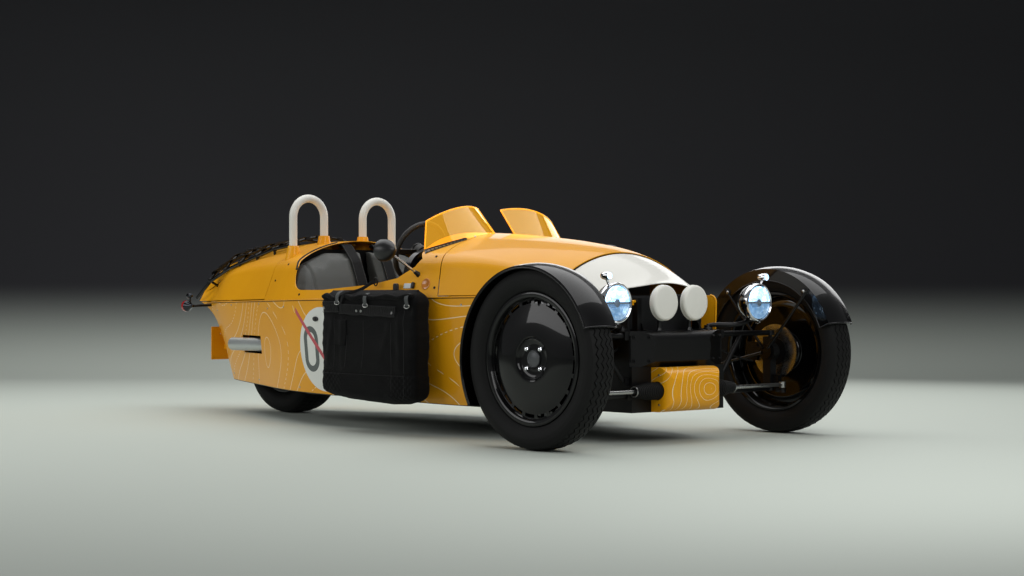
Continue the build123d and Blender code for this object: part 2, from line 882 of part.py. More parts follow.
def tail_lamp():
    # The left lamp on its arm, with a small lamp above it.
    cone = [
        (-16, 0),
        (-16, tail_lamp_radius - 6),
        (-4, tail_lamp_radius),
        (2, tail_lamp_radius),
        (46, 13),
        (66, 7),
        (66, 0),
    ]
    lamp = pointed_along_x(cone, tail_lamp_x, tail_lamp_y, tail_lamp_z)
    small_x = tail_lamp_x + 40
    root = (tail_lamp_x + 70, 80, tail_lamp_z + 6)
    lamp += rod((small_x, tail_lamp_y, tail_lamp_z), root, 8)
    small_z = tail_lamp_z + 56
    lamp += rod((small_x, tail_lamp_y, tail_lamp_z), (small_x, tail_lamp_y, small_z), 5)
    small_start = (small_x - 26, tail_lamp_y, small_z)
    lamp += rod(small_start, (small_x + 14, tail_lamp_y, small_z), 14)
    return lamp - body_outer


# ---- cockpit ----


def hoop(side):
    y = side * hoop_y
    bend_z = hoop_top_z - hoop_tube_radius - hoop_half
    path = Line((hoop_x, y - hoop_half, 790), (hoop_x, y - hoop_half, bend_z))
    path += ThreePointArc(
        (hoop_x, y - hoop_half, bend_z),
        (hoop_x, y, bend_z + hoop_half),
        (hoop_x, y + hoop_half, bend_z),
    )
    path += Line((hoop_x, y + hoop_half, bend_z), (hoop_x, y + hoop_half, 790))
    start = Plane(origin=(hoop_x, y - hoop_half, 790), z_dir=(0, 0, 1))
    frame = sweep(start * Circle(hoop_tube_radius), path)
    for leg_y, foot_z in ((y + side * hoop_half, 833), (y - side * hoop_half, 888)):
        flare = Cone(hoop_tube_radius + 14, hoop_tube_radius, 70)
        frame += Pos(hoop_x, leg_y, foot_z) * flare
    return frame - body_outer


def screen_right():
    # A curved sheet from the scuttle, raked back and wrapped round the side.
    base = ThreePointArc((-1020, -62, 898), (-992, -275, 874), (-1062, -474, 792))
    top = ThreePointArc((-1145, -72, 1033), (-1095, -255, 1030), (-1130, -405, 968))
    face = Face.make_surface_from_curves(base.edge(), top.edge())
    sheet = Solid.thicken(face, screen_thickness)
    return Part() + sheet - body_outer


def dashboard():
    outline = [
        (dash_front_x, dash_bottom_z),
        (dash_rear_x, dash_bottom_z),
        (dash_rear_x, 1000),
        (dash_front_x, 1000),
    ]
    return side_slab(outline, 700) & body_room


def cross_wall(x, top_z):
    clear = skin + part_gap
    outline = [(x, 100), (x - bulkhead_thickness, 100), (x - bulkhead_thickness, top_z), (x, top_z)]
    wall = side_slab(outline, 700) & body_room
    low, high = x - 50, x + 50
    below = [(high, 0), (low, 0), (low, floor_z(low) + clear), (high, floor_z(high) + clear)]
    return wall - side_slab(below, 700)


def rear_bulkhead():
    wall = cross_wall(bulkhead_x, 860)
    for side in (1, -1):
        y0, y1 = sorted((side * swing_half, side * (swing_half + 25)))
        wall += block(
            swing_pivot_x - 30,
            bulkhead_x,
            y0,
            y1,
            swing_pivot_z - 34,
            swing_pivot_z + 34,
        )
    return wall


def seat_back(side):
    outline = [
        (-2100, 868),
        (-2030, 720),
        (-1985, 600),
        (-1935, 400),
        (-1930, 340),
        (-2060, 340),
        (-2150, 868),
    ]
    y0, y1 = sorted((side * seat_gap / 2, side * 520))
    return side_slab(outline, 700) & body_room & block(-2200, -1800, y0, y1, 0, 1000)


def seat_cushion(side):
    clear = skin + part_gap
    outline = [
        (-2060, 340 - part_gap),
        (-1900, 340 - part_gap),
        (-1460, 370),
        (-1430, 350),
        (-1430, floor_z(-1430) + clear),
        (-2060, floor_z(-2060) + clear),
    ]
    y0, y1 = sorted((side * seat_gap / 2, side * 490))
    return side_slab(outline, 700) & body_room & block(-2200, -1400, y0, y1, 0, 1000)


def mirror_left():
    head = [(-46, 0), (-46, 44), (-34, 50), (-6, 47), (24, 30), (42, 10), (44, 0)]
    piece = pointed_along_x(head, mirror_x, mirror_y, mirror_z)
    piece += rod((mirror_x - 6, mirror_y - 20, mirror_z - 14), (mirror_x + 11, 540, 712), 6)
    piece += rod((mirror_x + 9, 566, 729), (mirror_x + 11, 535, 709), 13)
    return piece - body_outer


def pannier_left():
    inner = max(station.half for station in body_stations) + 5.3
    bag = block(bag_rear_x, bag_front_x, inner, inner + bag_depth, bag_bottom_z, bag_top_z)
    bag = fillet(bag.edges(), 28)
    for x in (bag_rear_x + bag_pad_length, bag_front_x - 2 * bag_pad_length):
        bag += block(x, x + bag_pad_length, 500, inner + 5, bag_top_z - 100, bag_top_z - 40)
    return bag - body_outer


# ---- tail ----


def plate_panel():
    panel = block(
        plate_x - plate_thickness,
        plate_x,
        -plate_half,
        plate_half,
        plate_bottom_z,
        plate_top_z,
    )
    for side in (1, -1):
        y = side * plate_hole_spacing / 2
        z = plate_top_z - 40
        panel -= rod((plate_x - 50, y, z), (plate_x + 50, y, z), plate_hole_radius)
        y0, y1 = sorted((side * 50, side * 70))
        panel += block(plate_x, plate_x + plate_arm_length, y0, y1, 330, 356)
    return panel - body_outer


def exhaust():
    # The outlet pipe with its silencer box beside the rear wheel.
    clear = skin + part_gap
    tip = (exhaust_tip_x, exhaust_y, exhaust_z)
    root = (muffler_rear_x, exhaust_y, exhaust_z)
    bore_end = (muffler_rear_x - 20, exhaust_y, exhaust_z)
    outline = [
        (muffler_rear_x, floor_z(muffler_rear_x) + clear),
        (muffler_front_x, floor_z(muffler_front_x) + clear),
        (muffler_front_x, exhaust_z + 48),
        (muffler_rear_x, exhaust_z + 48),
    ]
    outer_y = exhaust_y - exhaust_radius - 2
    sides = block(muffler_rear_x, muffler_front_x, outer_y, muffler_inner_y, 0, 900)
    silencer = side_slab(outline, 700) & sides & body_room
    bore = rod(tip, bore_end, exhaust_radius - exhaust_wall)
    return silencer + (rod(tip, root, exhaust_radius) - bore)


def swing_arm():
    # The rear fork with its pivot tube and axle.
    pivot_end = (swing_pivot_x, swing_half, swing_pivot_z)
    pivot = rod((swing_pivot_x, -swing_half, swing_pivot_z), pivot_end, swing_pivot_radius)
    outline = [
        (swing_pivot_x, swing_pivot_z - 26),
        (-wheelbase - 32, rear_tyre_radius - 26),
        (-wheelbase - 32, rear_tyre_radius + 26),
        (swing_pivot_x, swing_pivot_z + 26),
    ]
    inner = swing_half - swing_arm_width - 6
    fork = side_slab(outline, swing_half - 6) - side_slab(outline, inner)
    axle_end = (-wheelbase, swing_half - 6, rear_tyre_radius)
    axle = rod((-wheelbase, 6 - swing_half, rear_tyre_radius), axle_end, rear_axle_radius)
    return pivot + fork + axle


def crown_at(x):
    # The height of the body's crown, between the two nearest sections.
    for ahead, behind in zip(body_stations, body_stations[1:]):
        if ahead.x >= x >= behind.x:
            share = (ahead.x - x) / (ahead.x - behind.x)
            return ahead.crown + share * (behind.crown - ahead.crown)


def carrier_y(x):
    share = (x - carrier_front[0]) / (carrier_rear[0] - carrier_front[0])
    return carrier_front[1] + share * (carrier_rear[1] - carrier_front[1])


def luggage_rack():
    # Two rails along the tail's shoulders, bowed cross bars over the crown, and short feet.
    run = Vector(*carrier_rear) - Vector(*carrier_front)
    plane = Plane(
        origin=(carrier_front[0], carrier_front[1], 0),
        x_dir=(run.X, run.Y, 0),
        z_dir=(run.Y, -run.X, 0),
    )
    stretch = run.length / abs(run.X)
    corners = [((carrier_front[0] - x) * stretch, z) for x, z in carrier_rail]
    path = plane * FilletPolyline(*corners, radius=150)
    start = Plane(origin=path @ 0, z_dir=path % 0)
    rail = sweep(start * Circle(carrier_rail_radius), path)
    shape = rail + other_side(rail)
    for x, z in carrier_bars:
        y = carrier_y(x)
        bow = ThreePointArc((x, -y, z), (x, 0, crown_at(x) + carrier_crown_gap), (x, y, z))
        end = Plane(origin=bow @ 0, z_dir=bow % 0)
        shape += sweep(end * Circle(carrier_bar_radius), bow)
    for x, z in carrier_bars[:4]:
        for y in (-carrier_y(x), carrier_y(x)):
            shape += rod((x, y * 0.95, z - 70), (x, y, z), carrier_bar_radius)
    x, z = carrier_bars[-1]
    for y in (-carrier_y(x), carrier_y(x)):
        shape += rod((x, y * 0.5, z - 40), (x, y, z), carrier_bar_radius)
    return shape - body_outer


# ---- all pieces ----

parts = {}
parts["side_panel_left"] = side_panel_left()
parts["side_panel_right"] = side_panel_right()
parts["floor_pan"] = floor_pan()
parts["nose_cowl"] = nose_cowl()
parts["bonnet"] = bonnet()
parts["cockpit_surround"] = cockpit_surround()
parts["tail_lid"] = tail_lid()
parts["lid_hinge"] = lid_hinge()
parts["luggage_rack"] = luggage_rack()
parts["front_casting"] = front_casting()
parts["front_box"] = front_box()
parts["lower_nose"] = lower_nose()
parts["radiator"] = radiator()
parts["engine"] = engine()
parts["firewall"] = cross_wall(firewall_x, 610)
parts["rear_bulkhead"] = rear_bulkhead()
parts["bonnet_brackets"] = bonnet_bracket(1) + bonnet_bracket(-1)
parts["dashboard"] = dashboard()
parts["steering_column"] = steering_column()
parts["steering_wheel"] = steering_wheel()
parts["rack_housing"] = rack_housing()
parts["rack_bar"] = rack_bar()
parts["screen_right"] = screen_right()
parts["screen_left"] = other_side(parts["screen_right"])
parts["rally_lamps"] = rally_lamp(1) + rally_lamp(-1)
parts["plate_panel"] = plate_panel()
parts["exhaust"] = exhaust()
parts["swing_arm"] = swing_arm()
parts["rear_wheel"] = Pos(-wheelbase, 0, rear_tyre_radius) * rear_wheel()
parts["rear_tyre"] = Pos(-wheelbase, 0, rear_tyre_radius) * tyre_ring(rear_tyre)

wheel_place = Pos(0, front_track / 2, front_tyre_radius)
left_pieces = {
    "suspension": suspension(),
    "knuckle": knuckle(),
    "front_guard": front_guard(),
    "front_wheel": wheel_place * front_wheel(),
    "front_tyre": wheel_place * tyre_ring(front_tyre),
    "headlamp": headlamp(),
    "tail_lamp": tail_lamp(),
    "mirror": mirror_left(),
    "pannier": pannier_left(),
}
for name, shape in left_pieces.items():
    parts[name + "_left"] = shape
    parts[name + "_right"] = other_side(shape)
for word, side in (("left", 1), ("right", -1)):
    parts["hoop_" + word] = hoop(side)
    parts["seat_back_" + word] = seat_back(side)
    parts["seat_cushion_" + word] = seat_cushion(side)

# The whole is centred between the front of the tyres and the back of the lid's hinge.
to_centre = Pos(-(front_tyre_radius + hinge_rear_x) / 2, 0, 0)

os.makedirs("parts", exist_ok=True)
for name, shape in parts.items():
    placed = to_centre * shape
    print(name, round(shape.volume), len(shape.solids()))
    export_step(placed, f"parts/{name}.step")
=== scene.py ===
import math
import bmesh
import bpy
from mathutils import Vector, Matrix
from mathutils.bvhtree import BVHTree


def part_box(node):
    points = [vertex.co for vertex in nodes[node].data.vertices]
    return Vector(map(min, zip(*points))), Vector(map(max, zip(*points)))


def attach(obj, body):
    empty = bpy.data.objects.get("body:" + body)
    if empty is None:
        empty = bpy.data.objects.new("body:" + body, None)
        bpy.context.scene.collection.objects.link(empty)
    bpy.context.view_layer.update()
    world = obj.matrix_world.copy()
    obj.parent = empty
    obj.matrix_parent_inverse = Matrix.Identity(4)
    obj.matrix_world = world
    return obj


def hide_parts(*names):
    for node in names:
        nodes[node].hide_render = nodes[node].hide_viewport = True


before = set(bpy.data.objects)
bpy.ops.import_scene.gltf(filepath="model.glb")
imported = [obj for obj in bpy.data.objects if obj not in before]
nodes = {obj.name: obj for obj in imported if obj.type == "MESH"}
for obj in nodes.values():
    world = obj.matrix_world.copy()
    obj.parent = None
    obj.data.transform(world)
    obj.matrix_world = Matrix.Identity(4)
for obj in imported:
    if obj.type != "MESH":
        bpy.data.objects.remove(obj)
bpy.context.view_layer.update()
print("stage: frame loaded")


def middle(node):
    low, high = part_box(node)
    return (low + high) / 2


frontWheelAt = {"left": middle("front_tyre_left"), "right": middle("front_tyre_right")}
rearWheelAt = middle("rear_tyre")
axleX = frontWheelAt["left"].x
sides = {"left": 1, "right": -1}


def fromAxle(x, y, z):
    # A place given from the front axle and the ground.
    return Vector((axleX + x, y, z))


def addPiece(name, verts, faces, material, smoothAngle=35):
    mesh = bpy.data.meshes.new(name)
    mesh.from_pydata([tuple(v) for v in verts], [], faces)
    mesh.validate()
    mesh.materials.append(material)
    piece = bpy.data.objects.new(name, mesh)
    bpy.context.scene.collection.objects.link(piece)
    mesh.shade_smooth()
    mesh.set_sharp_from_angle(angle=math.radians(smoothAngle))
    return piece


def settle(piece, body, slotName, *replaced):
    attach(piece, body)
    if replaced:
        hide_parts(*replaced)
    return piece


class Shape:
    # Gathers rings, tubes and plates into one mesh, in metres.
    def __init__(self):
        self.verts, self.faces = [], []

    def grid(self, rows, closeRows=False, closeCols=False):
        # rows of equally many points, joined by quads
        start, wide, high = len(self.verts), len(rows[0]), len(rows)
        for row in rows:
            self.verts.extend(Vector(p) for p in row)
        for i in range(high if closeRows else high - 1):
            for j in range(wide if closeCols else wide - 1):
                a = start + i * wide + j
                b = start + i * wide + (j + 1) % wide
                c = start + ((i + 1) % high) * wide + (j + 1) % wide
                d = start + ((i + 1) % high) * wide + j
                self.faces.append((a, b, c, d))
        return start

    def cap(self, start, count, flip=False):
        ring = list(range(start, start + count))
        self.faces.append(tuple(reversed(ring)) if flip else tuple(ring))

    def lathe(self, profile, place, axis, turns=48):
        # profile: (along, radius) from one end to the other, about an axis through place
        axis = Vector(axis).normalized()
        side = axis.orthogonal().normalized()
        other = axis.cross(side)
        rows = []
        for along, radius in profile:
            ring = []
            for k in range(turns):
                a = 2 * math.pi * k / turns
                reach = side * math.cos(a) + other * math.sin(a)
                ring.append(Vector(place) + axis * along + reach * max(radius, 0.00005))
            rows.append(ring)
        start = self.grid(rows, closeCols=True)
        self.cap(start, turns, flip=True)
        self.cap(start + (len(rows) - 1) * turns, turns)
        return self

    def ring(self, profile, place, axis, turns=48):
        # a closed profile of (along, radius) turned into a ring
        axis = Vector(axis).normalized()
        side = axis.orthogonal().normalized()
        other = axis.cross(side)
        rows = []
        for along, radius in profile:
            rows.append([Vector(place) + axis * along + (side * math.cos(a) + other * math.sin(a)) * radius
                for a in (2 * math.pi * k / turns for k in range(turns))])
        self.grid(rows, closeRows=True, closeCols=True)
        return self

    def tube(self, path, radius, turns=12, closed=False, flat=1.0, up=None):
        # a round or flattened bar along a path, with capped ends
        points = [Vector(p) for p in path]
        count = len(points)
        rows, normal = [], None
        for i, point in enumerate(points):
            if closed:
                run = points[(i + 1) % count] - points[i - 1]
            else:
                run = points[min(i + 1, count - 1)] - points[max(i - 1, 0)]
            run.normalize()
            if up is not None:
                normal = Vector(up) - run * run.dot(Vector(up))
            elif normal is None:
                normal = run.orthogonal()
            else:
                normal = normal - run * run.dot(normal)
            normal.normalize()
            across = run.cross(normal)
            size = radius(i / (count - 1)) if callable(radius) else radius
            rows.append([point + across * math.cos(a) * size + normal * math.sin(a) * size * flat
                for a in (2 * math.pi * k / turns for k in range(turns))])
        start = self.grid(rows, closeRows=closed, closeCols=True)
        if not closed:
            self.cap(start, turns, flip=True)
            self.cap(start + (count - 1) * turns, turns)
        return self

    def slab(self, outline, depth):
        # an outline of points pushed along a vector
        depth = Vector(depth)
        start = len(self.verts)
        count = len(outline)
        self.verts.extend(Vector(p) for p in outline)
        self.verts.extend(Vector(p) + depth for p in outline)
        self.faces.append(tuple(start + i for i in reversed(range(count))))
        self.faces.append(tuple(start + count + i for i in range(count)))
        for i in range(count):
            j = (i + 1) % count
            self.faces.append((start + i, start + j, start + count + j, start + count + i))
        return self

    def piece(self, name, material, smoothAngle=35):
        made = addPiece(name, self.verts, self.faces, material, smoothAngle)
        tidyNormals(made)
        return made


def tidyNormals(piece):
    work = bmesh.new()
    work.from_mesh(piece.data)
    bmesh.ops.remove_doubles(work, verts=work.verts, dist=0.00002)
    bmesh.ops.recalc_face_normals(work, faces=work.faces)
    work.to_mesh(piece.data)
    work.free()


def smoothPath(points, perRun=8, closed=False):
    # A soft line through every point.
    points = [Vector(p) for p in points]
    count = len(points)
    made = []
    for i in range(count if closed else count - 1):
        before = points[i - 1] if (i or closed) else points[i]
        start, end = points[i], points[(i + 1) % count]
        after = points[(i + 2) % count] if (closed or i + 2 < count) else end
        for k in range(perRun):
            t = k / perRun
            made.append(0.5 * (2 * start + (end - before) * t
                + (2 * before - 5 * start + 4 * end - after) * t * t
                + (3 * start - before - 3 * end + after) * t ** 3))
    if not closed:
        made.append(points[-1])
    return made


def bevelled(piece, width, segments=2):
    bevel = piece.modifiers.new("bevel", "BEVEL")
    bevel.width, bevel.segments, bevel.limit_method = width, segments, "ANGLE"
    return applied(piece)


def subdivided(piece, levels):
    smooth = piece.modifiers.new("smooth", "SUBSURF")
    smooth.levels = smooth.render_levels = levels
    return applied(piece)


def applied(piece):
    # Turns the modifiers' result into the piece's own plain mesh.
    graph = bpy.context.evaluated_depsgraph_get()
    graph.update()
    mesh = bpy.data.meshes.new_from_object(piece.evaluated_get(graph))
    piece.modifiers.clear()
    piece.data = mesh
    return piece


treeOf = {}


def surfaceOf(node):
    if node not in treeOf:
        mesh = nodes[node].data
        treeOf[node] = BVHTree.FromPolygons([v.co.copy() for v in mesh.vertices],
            [tuple(p.vertices) for p in mesh.polygons])
    return treeOf[node]


def cast(node, start, direction):
    hit = surfaceOf(node).ray_cast(Vector(start), Vector(direction).normalized())
    return (hit[0], hit[1]) if hit[0] is not None else (None, None)


def addNode(tree, kind, values=None, **settings):
    made = tree.nodes.new(kind)
    for key, value in settings.items():
        setattr(made, key, value)
    for key, value in (values or {}).items():
        if isinstance(value, bpy.types.NodeSocket):
            tree.links.new(value, made.inputs[key])
        else:
            made.inputs[key].default_value = value
    return made


def linear(red, green, blue):
    def one(c):
        c /= 255
        return c / 12.92 if c <= 0.04045 else ((c + 0.055) / 1.055) ** 2.4
    return (one(red), one(green), one(blue), 1.0)


def newGroup(name, inputs, outputs):
    tree = bpy.data.node_groups.new(name, "ShaderNodeTree")
    for label, kind, default in inputs:
        socket = tree.interface.new_socket(label, in_out="INPUT", socket_type=kind)
        if default is not None:
            socket.default_value = default
    for label, kind in outputs:
        tree.interface.new_socket(label, in_out="OUTPUT", socket_type=kind)
    return tree, tree.nodes.new("NodeGroupInput"), tree.nodes.new("NodeGroupOutput")


def mathNode(tree, operation, a, b=None, c=None):
    values = {0: a}
    if b is not None:
        values[1] = b
    if c is not None:
        values[2] = c
    return addNode(tree, "ShaderNodeMath", values, operation=operation).outputs[0]


def buildGrainGroup():
    # Fine uneven surface: a mask for colour and a height for bump.
    tree, given, out = newGroup("fineGrain", [("Scale", "NodeSocketFloat", 300.0),
        ("Stretch", "NodeSocketVector", (1, 1, 1))], [("Mask", "NodeSocketFloat"),
        ("Height", "NodeSocketFloat")])
    place = addNode(tree, "ShaderNodeTexCoord").outputs["Object"]
    spread = addNode(tree, "ShaderNodeVectorMath", {0: place, 1: given.outputs["Stretch"]},
        operation="MULTIPLY").outputs[0]
    noise = addNode(tree, "ShaderNodeTexNoise", {"Vector": spread, "Scale": given.outputs["Scale"],
        "Detail": 4.0, "Roughness": 0.6})
    cloud = addNode(tree, "ShaderNodeTexNoise", {"Vector": place, "Scale": 6.0, "Detail": 3.0})
    mask = mathNode(tree, "MULTIPLY", noise.outputs["Fac"], cloud.outputs["Fac"])
    tree.links.new(mathNode(tree, "MULTIPLY", mask, 2.0), out.inputs["Mask"])
    tree.links.new(noise.outputs["Fac"], out.inputs["Height"])
    return tree


def buildLeatherGroup():
    # Hide grain: small cells between soft creases.
    tree, given, out = newGroup("leatherGrain", [("Scale", "NodeSocketFloat", 420.0)],
        [("Mask", "NodeSocketFloat"), ("Height", "NodeSocketFloat")])
    place = addNode(tree, "ShaderNodeTexCoord").outputs["Object"]
    cells = addNode(tree, "ShaderNodeTexVoronoi", {"Vector": place, "Scale": given.outputs["Scale"]},
        feature="DISTANCE_TO_EDGE")
    height = mathNode(tree, "MINIMUM", mathNode(tree, "MULTIPLY", cells.outputs[0], 6.0), 1.0)
    cloud = addNode(tree, "ShaderNodeTexNoise", {"Vector": place, "Scale": 14.0, "Detail": 5.0})
    tree.links.new(height, out.inputs["Height"])
    tree.links.new(cloud.outputs["Fac"], out.inputs["Mask"])
    return tree


def buildWeaveGroup():
    # Crossing threads, running along each face of a cloth piece.
    tree, given, out = newGroup("clothWeave", [("Threads", "NodeSocketFloat", 900.0)],
        [("Mask", "NodeSocketFloat"), ("Height", "NodeSocketFloat")])
    place = addNode(tree, "ShaderNodeTexCoord").outputs["Object"]
    waves = []
    for direction in ("X", "Y", "Z"):
        wave = addNode(tree, "ShaderNodeTexWave", {"Vector": place, "Scale": given.outputs["Threads"],
            "Distortion": 0.4, "Detail": 1.0}, bands_direction=direction)
        waves.append(wave.outputs["Fac"])
    both = mathNode(tree, "MAXIMUM", mathNode(tree, "MULTIPLY", waves[0], waves[2]),
        mathNode(tree, "MULTIPLY", waves[1], waves[2]))
    cloud = addNode(tree, "ShaderNodeTexNoise", {"Vector": place, "Scale": 22.0, "Detail": 6.0,
        "Roughness": 0.65})
    tree.links.new(both, out.inputs["Height"])
    tree.links.new(cloud.outputs["Fac"], out.inputs["Mask"])
    return tree


grainGroup = buildGrainGroup()
leatherGroup = buildLeatherGroup()
weaveGroup = buildWeaveGroup()


def surface(name, color, roughness, metallic=0.0, coat=0.0, coatRoughness=0.05, group=None,
        groupValues=None, bump=0.0, vary=0.0, roughVary=0.0, darker=None, sheen=0.0, specular=0.5):
    # A Principled surface whose colour, roughness and bump come from a shared group.
    material = bpy.data.materials.new(name)
    material.use_nodes = True
    tree = material.node_tree
    tree.nodes.clear()
    shader = addNode(tree, "ShaderNodeBsdfPrincipled",
        {"Base Color": color, "Roughness": roughness, "Metallic": metallic, "Coat Weight": coat,
        "Coat Roughness": coatRoughness, "Sheen Weight": sheen, "Specular IOR Level": specular})
    out = addNode(tree, "ShaderNodeOutputMaterial", {"Surface": shader.outputs[0]})
    out.is_active_output = True
    source = addNode(tree, "ShaderNodeGroup", node_tree=group or grainGroup)
    for key, value in (groupValues or {}).items():
        source.inputs[key].default_value = value
    if vary or darker:
        dark = darker or tuple(c * (1 - vary) for c in color[:3]) + (1.0,)
        mix = addNode(tree, "ShaderNodeMix", {0: source.outputs["Mask"], 6: dark, 7: color},
            data_type="RGBA")
        tree.links.new(mix.outputs[2], shader.inputs["Base Color"])
    if roughVary:
        spread = addNode(tree, "ShaderNodeMapRange", {"Value": source.outputs["Mask"],
            "To Min": max(roughness - roughVary, 0.02), "To Max": min(roughness + roughVary, 1.0)})
        tree.links.new(spread.outputs[0], shader.inputs["Roughness"])
    if bump:
        relief = addNode(tree, "ShaderNodeBump", {"Height": source.outputs["Height"], "Strength": bump,
            "Distance": 0.0006})
        tree.links.new(relief.outputs[0], shader.inputs["Normal"])
    return material


def clearMaterial(name, color, roughness=0.02, ior=1.49, paintedGlow=None, strength=0.0):
    material = bpy.data.materials.new(name)
    material.use_nodes = True
    tree = material.node_tree
    tree.nodes.clear()
    shader = addNode(tree, "ShaderNodeBsdfPrincipled",
        {"Base Color": color, "Roughness": roughness, "IOR": ior, "Transmission Weight": 1.0,
        "Metallic": 0.0, "Emission Color": paintedGlow or color, "Emission Strength": strength})
    addNode(tree, "ShaderNodeOutputMaterial", {"Surface": shader.outputs[0]})
    return material


amberColor = linear(238, 168, 16)
amberDeep = linear(230, 156, 12)
amberPaint = surface("amberPaint", amberColor, 0.42, coat=0.26, coatRoughness=0.06, specular=0.2,
    groupValues={"Scale": 2200.0}, darker=amberDeep)
ivoryPaint = surface("ivoryPaint", linear(228, 227, 219), 0.42, coat=0.3, specular=0.2, vary=0.04,
    groupValues={"Scale": 900.0})
blackPaint = surface("blackPaint", linear(6, 6, 7), 0.3, coat=0.5, coatRoughness=0.04, vary=0.3,
    specular=0.08, groupValues={"Scale": 1200.0})
castBlack = surface("castBlack", linear(9, 9, 10), 0.4, specular=0.4, metallic=0.3, vary=0.35,
    roughVary=0.12, bump=0.35, groupValues={"Scale": 620.0})
blackSteel = surface("blackSteel", linear(18, 18, 19), 0.42, specular=0.35, metallic=0.35, vary=0.3,
    roughVary=0.1, bump=0.15, groupValues={"Scale": 420.0})
brightSteel = surface("brightSteel", linear(190, 190, 188), 0.28, metallic=1.0, vary=0.15, roughVary=0.12,
    bump=0.05, groupValues={"Scale": 240.0, "Stretch": (1, 0.08, 1)})
chrome = surface("chrome", linear(232, 234, 238), 0.06, metallic=1.0, vary=0.03, roughVary=0.03,
    groupValues={"Scale": 90.0})
darkChrome = surface("darkChrome", linear(58, 60, 64), 0.12, metallic=1.0, vary=0.03, roughVary=0.03,
    groupValues={"Scale": 90.0})
tyreRubber = surface("tyreRubber", linear(20, 20, 20), 0.68, specular=0.2, vary=0.35, roughVary=0.12,
    bump=0.25, groupValues={"Scale": 380.0})
softRubber = surface("softRubber", linear(13, 13, 13), 0.6, specular=0.25, vary=0.3, roughVary=0.1,
    bump=0.2, groupValues={"Scale": 300.0})
seatLeather = surface("seatLeather", linear(72, 74, 70), 0.5, group=leatherGroup, bump=0.5, vary=0.22,
    roughVary=0.1, groupValues={"Scale": 420.0}, sheen=0.1)
strapLeather = surface("strapLeather", linear(26, 24, 22), 0.5, group=leatherGroup, bump=0.4, vary=0.3,
    groupValues={"Scale": 600.0})
canvasBlack = surface("canvasBlack", linear(9, 9, 10), 0.78, specular=0.1, group=weaveGroup, bump=0.7,
    vary=0.45, roughVary=0.1, groupValues={"Threads": 260.0}, sheen=0.04)
webbing = surface("webbing", linear(21, 21, 22), 0.7, specular=0.15, group=weaveGroup, bump=0.8, vary=0.3,
    groupValues={"Threads": 420.0}, sheen=0.04)
coverCloth = surface("coverCloth", linear(232, 231, 223), 0.55, vary=0.08, roughVary=0.08, bump=0.18,
    groupValues={"Scale": 700.0})
mouldedBlack = surface("mouldedBlack", linear(18, 18, 19), 0.38, vary=0.25, roughVary=0.08, bump=0.12,
    groupValues={"Scale": 800.0})
paleSteel = surface("paleSteel", linear(196, 201, 200), 0.38, metallic=0.75, vary=0.1, roughVary=0.1,
    groupValues={"Scale": 150.0, "Stretch": (0.1, 1, 1)})
redLens = surface("redLens", linear(178, 14, 20), 0.16, coat=0.5, vary=0.3, groupValues={"Scale": 200.0})
# the screen's amber glow is painted light: emission standing for light caught in the tinted screen
amberScreen = clearMaterial("amberScreen", linear(255, 214, 96), 0.03, paintedGlow=linear(236, 172, 40),
    strength=0.34)
lensGlass = clearMaterial("lensGlass", linear(236, 244, 252), 0.01, 1.45)
mirrorGlass = surface("mirrorGlass", linear(225, 228, 232), 0.02, metallic=1.0, vary=0.02,
    groupValues={"Scale": 60.0})
engineBlock = surface("engineBlock", linear(60, 60, 62), 0.6, metallic=0.6, vary=0.4, bump=0.4,
    groupValues={"Scale": 260.0})

sideArt = {
    "discCentre": (-1.712, 0.368),   # from the axle and the ground
    "discRadius": 0.202,
    "numeralAt": -0.100,
    "numeralHalf": (0.062, 0.110),
    "numeralStroke": 0.029,
    "stripeStart": (-1.935, 0.555),
    "stripeEnd": (-1.50, 0.12),
    "stripeHalf": 0.0105,
    "lineScale": 1.35,
    "lineCount": 19.0,
    "lineHalf": 0.0019,
    "sampleStep": 0.004,
}


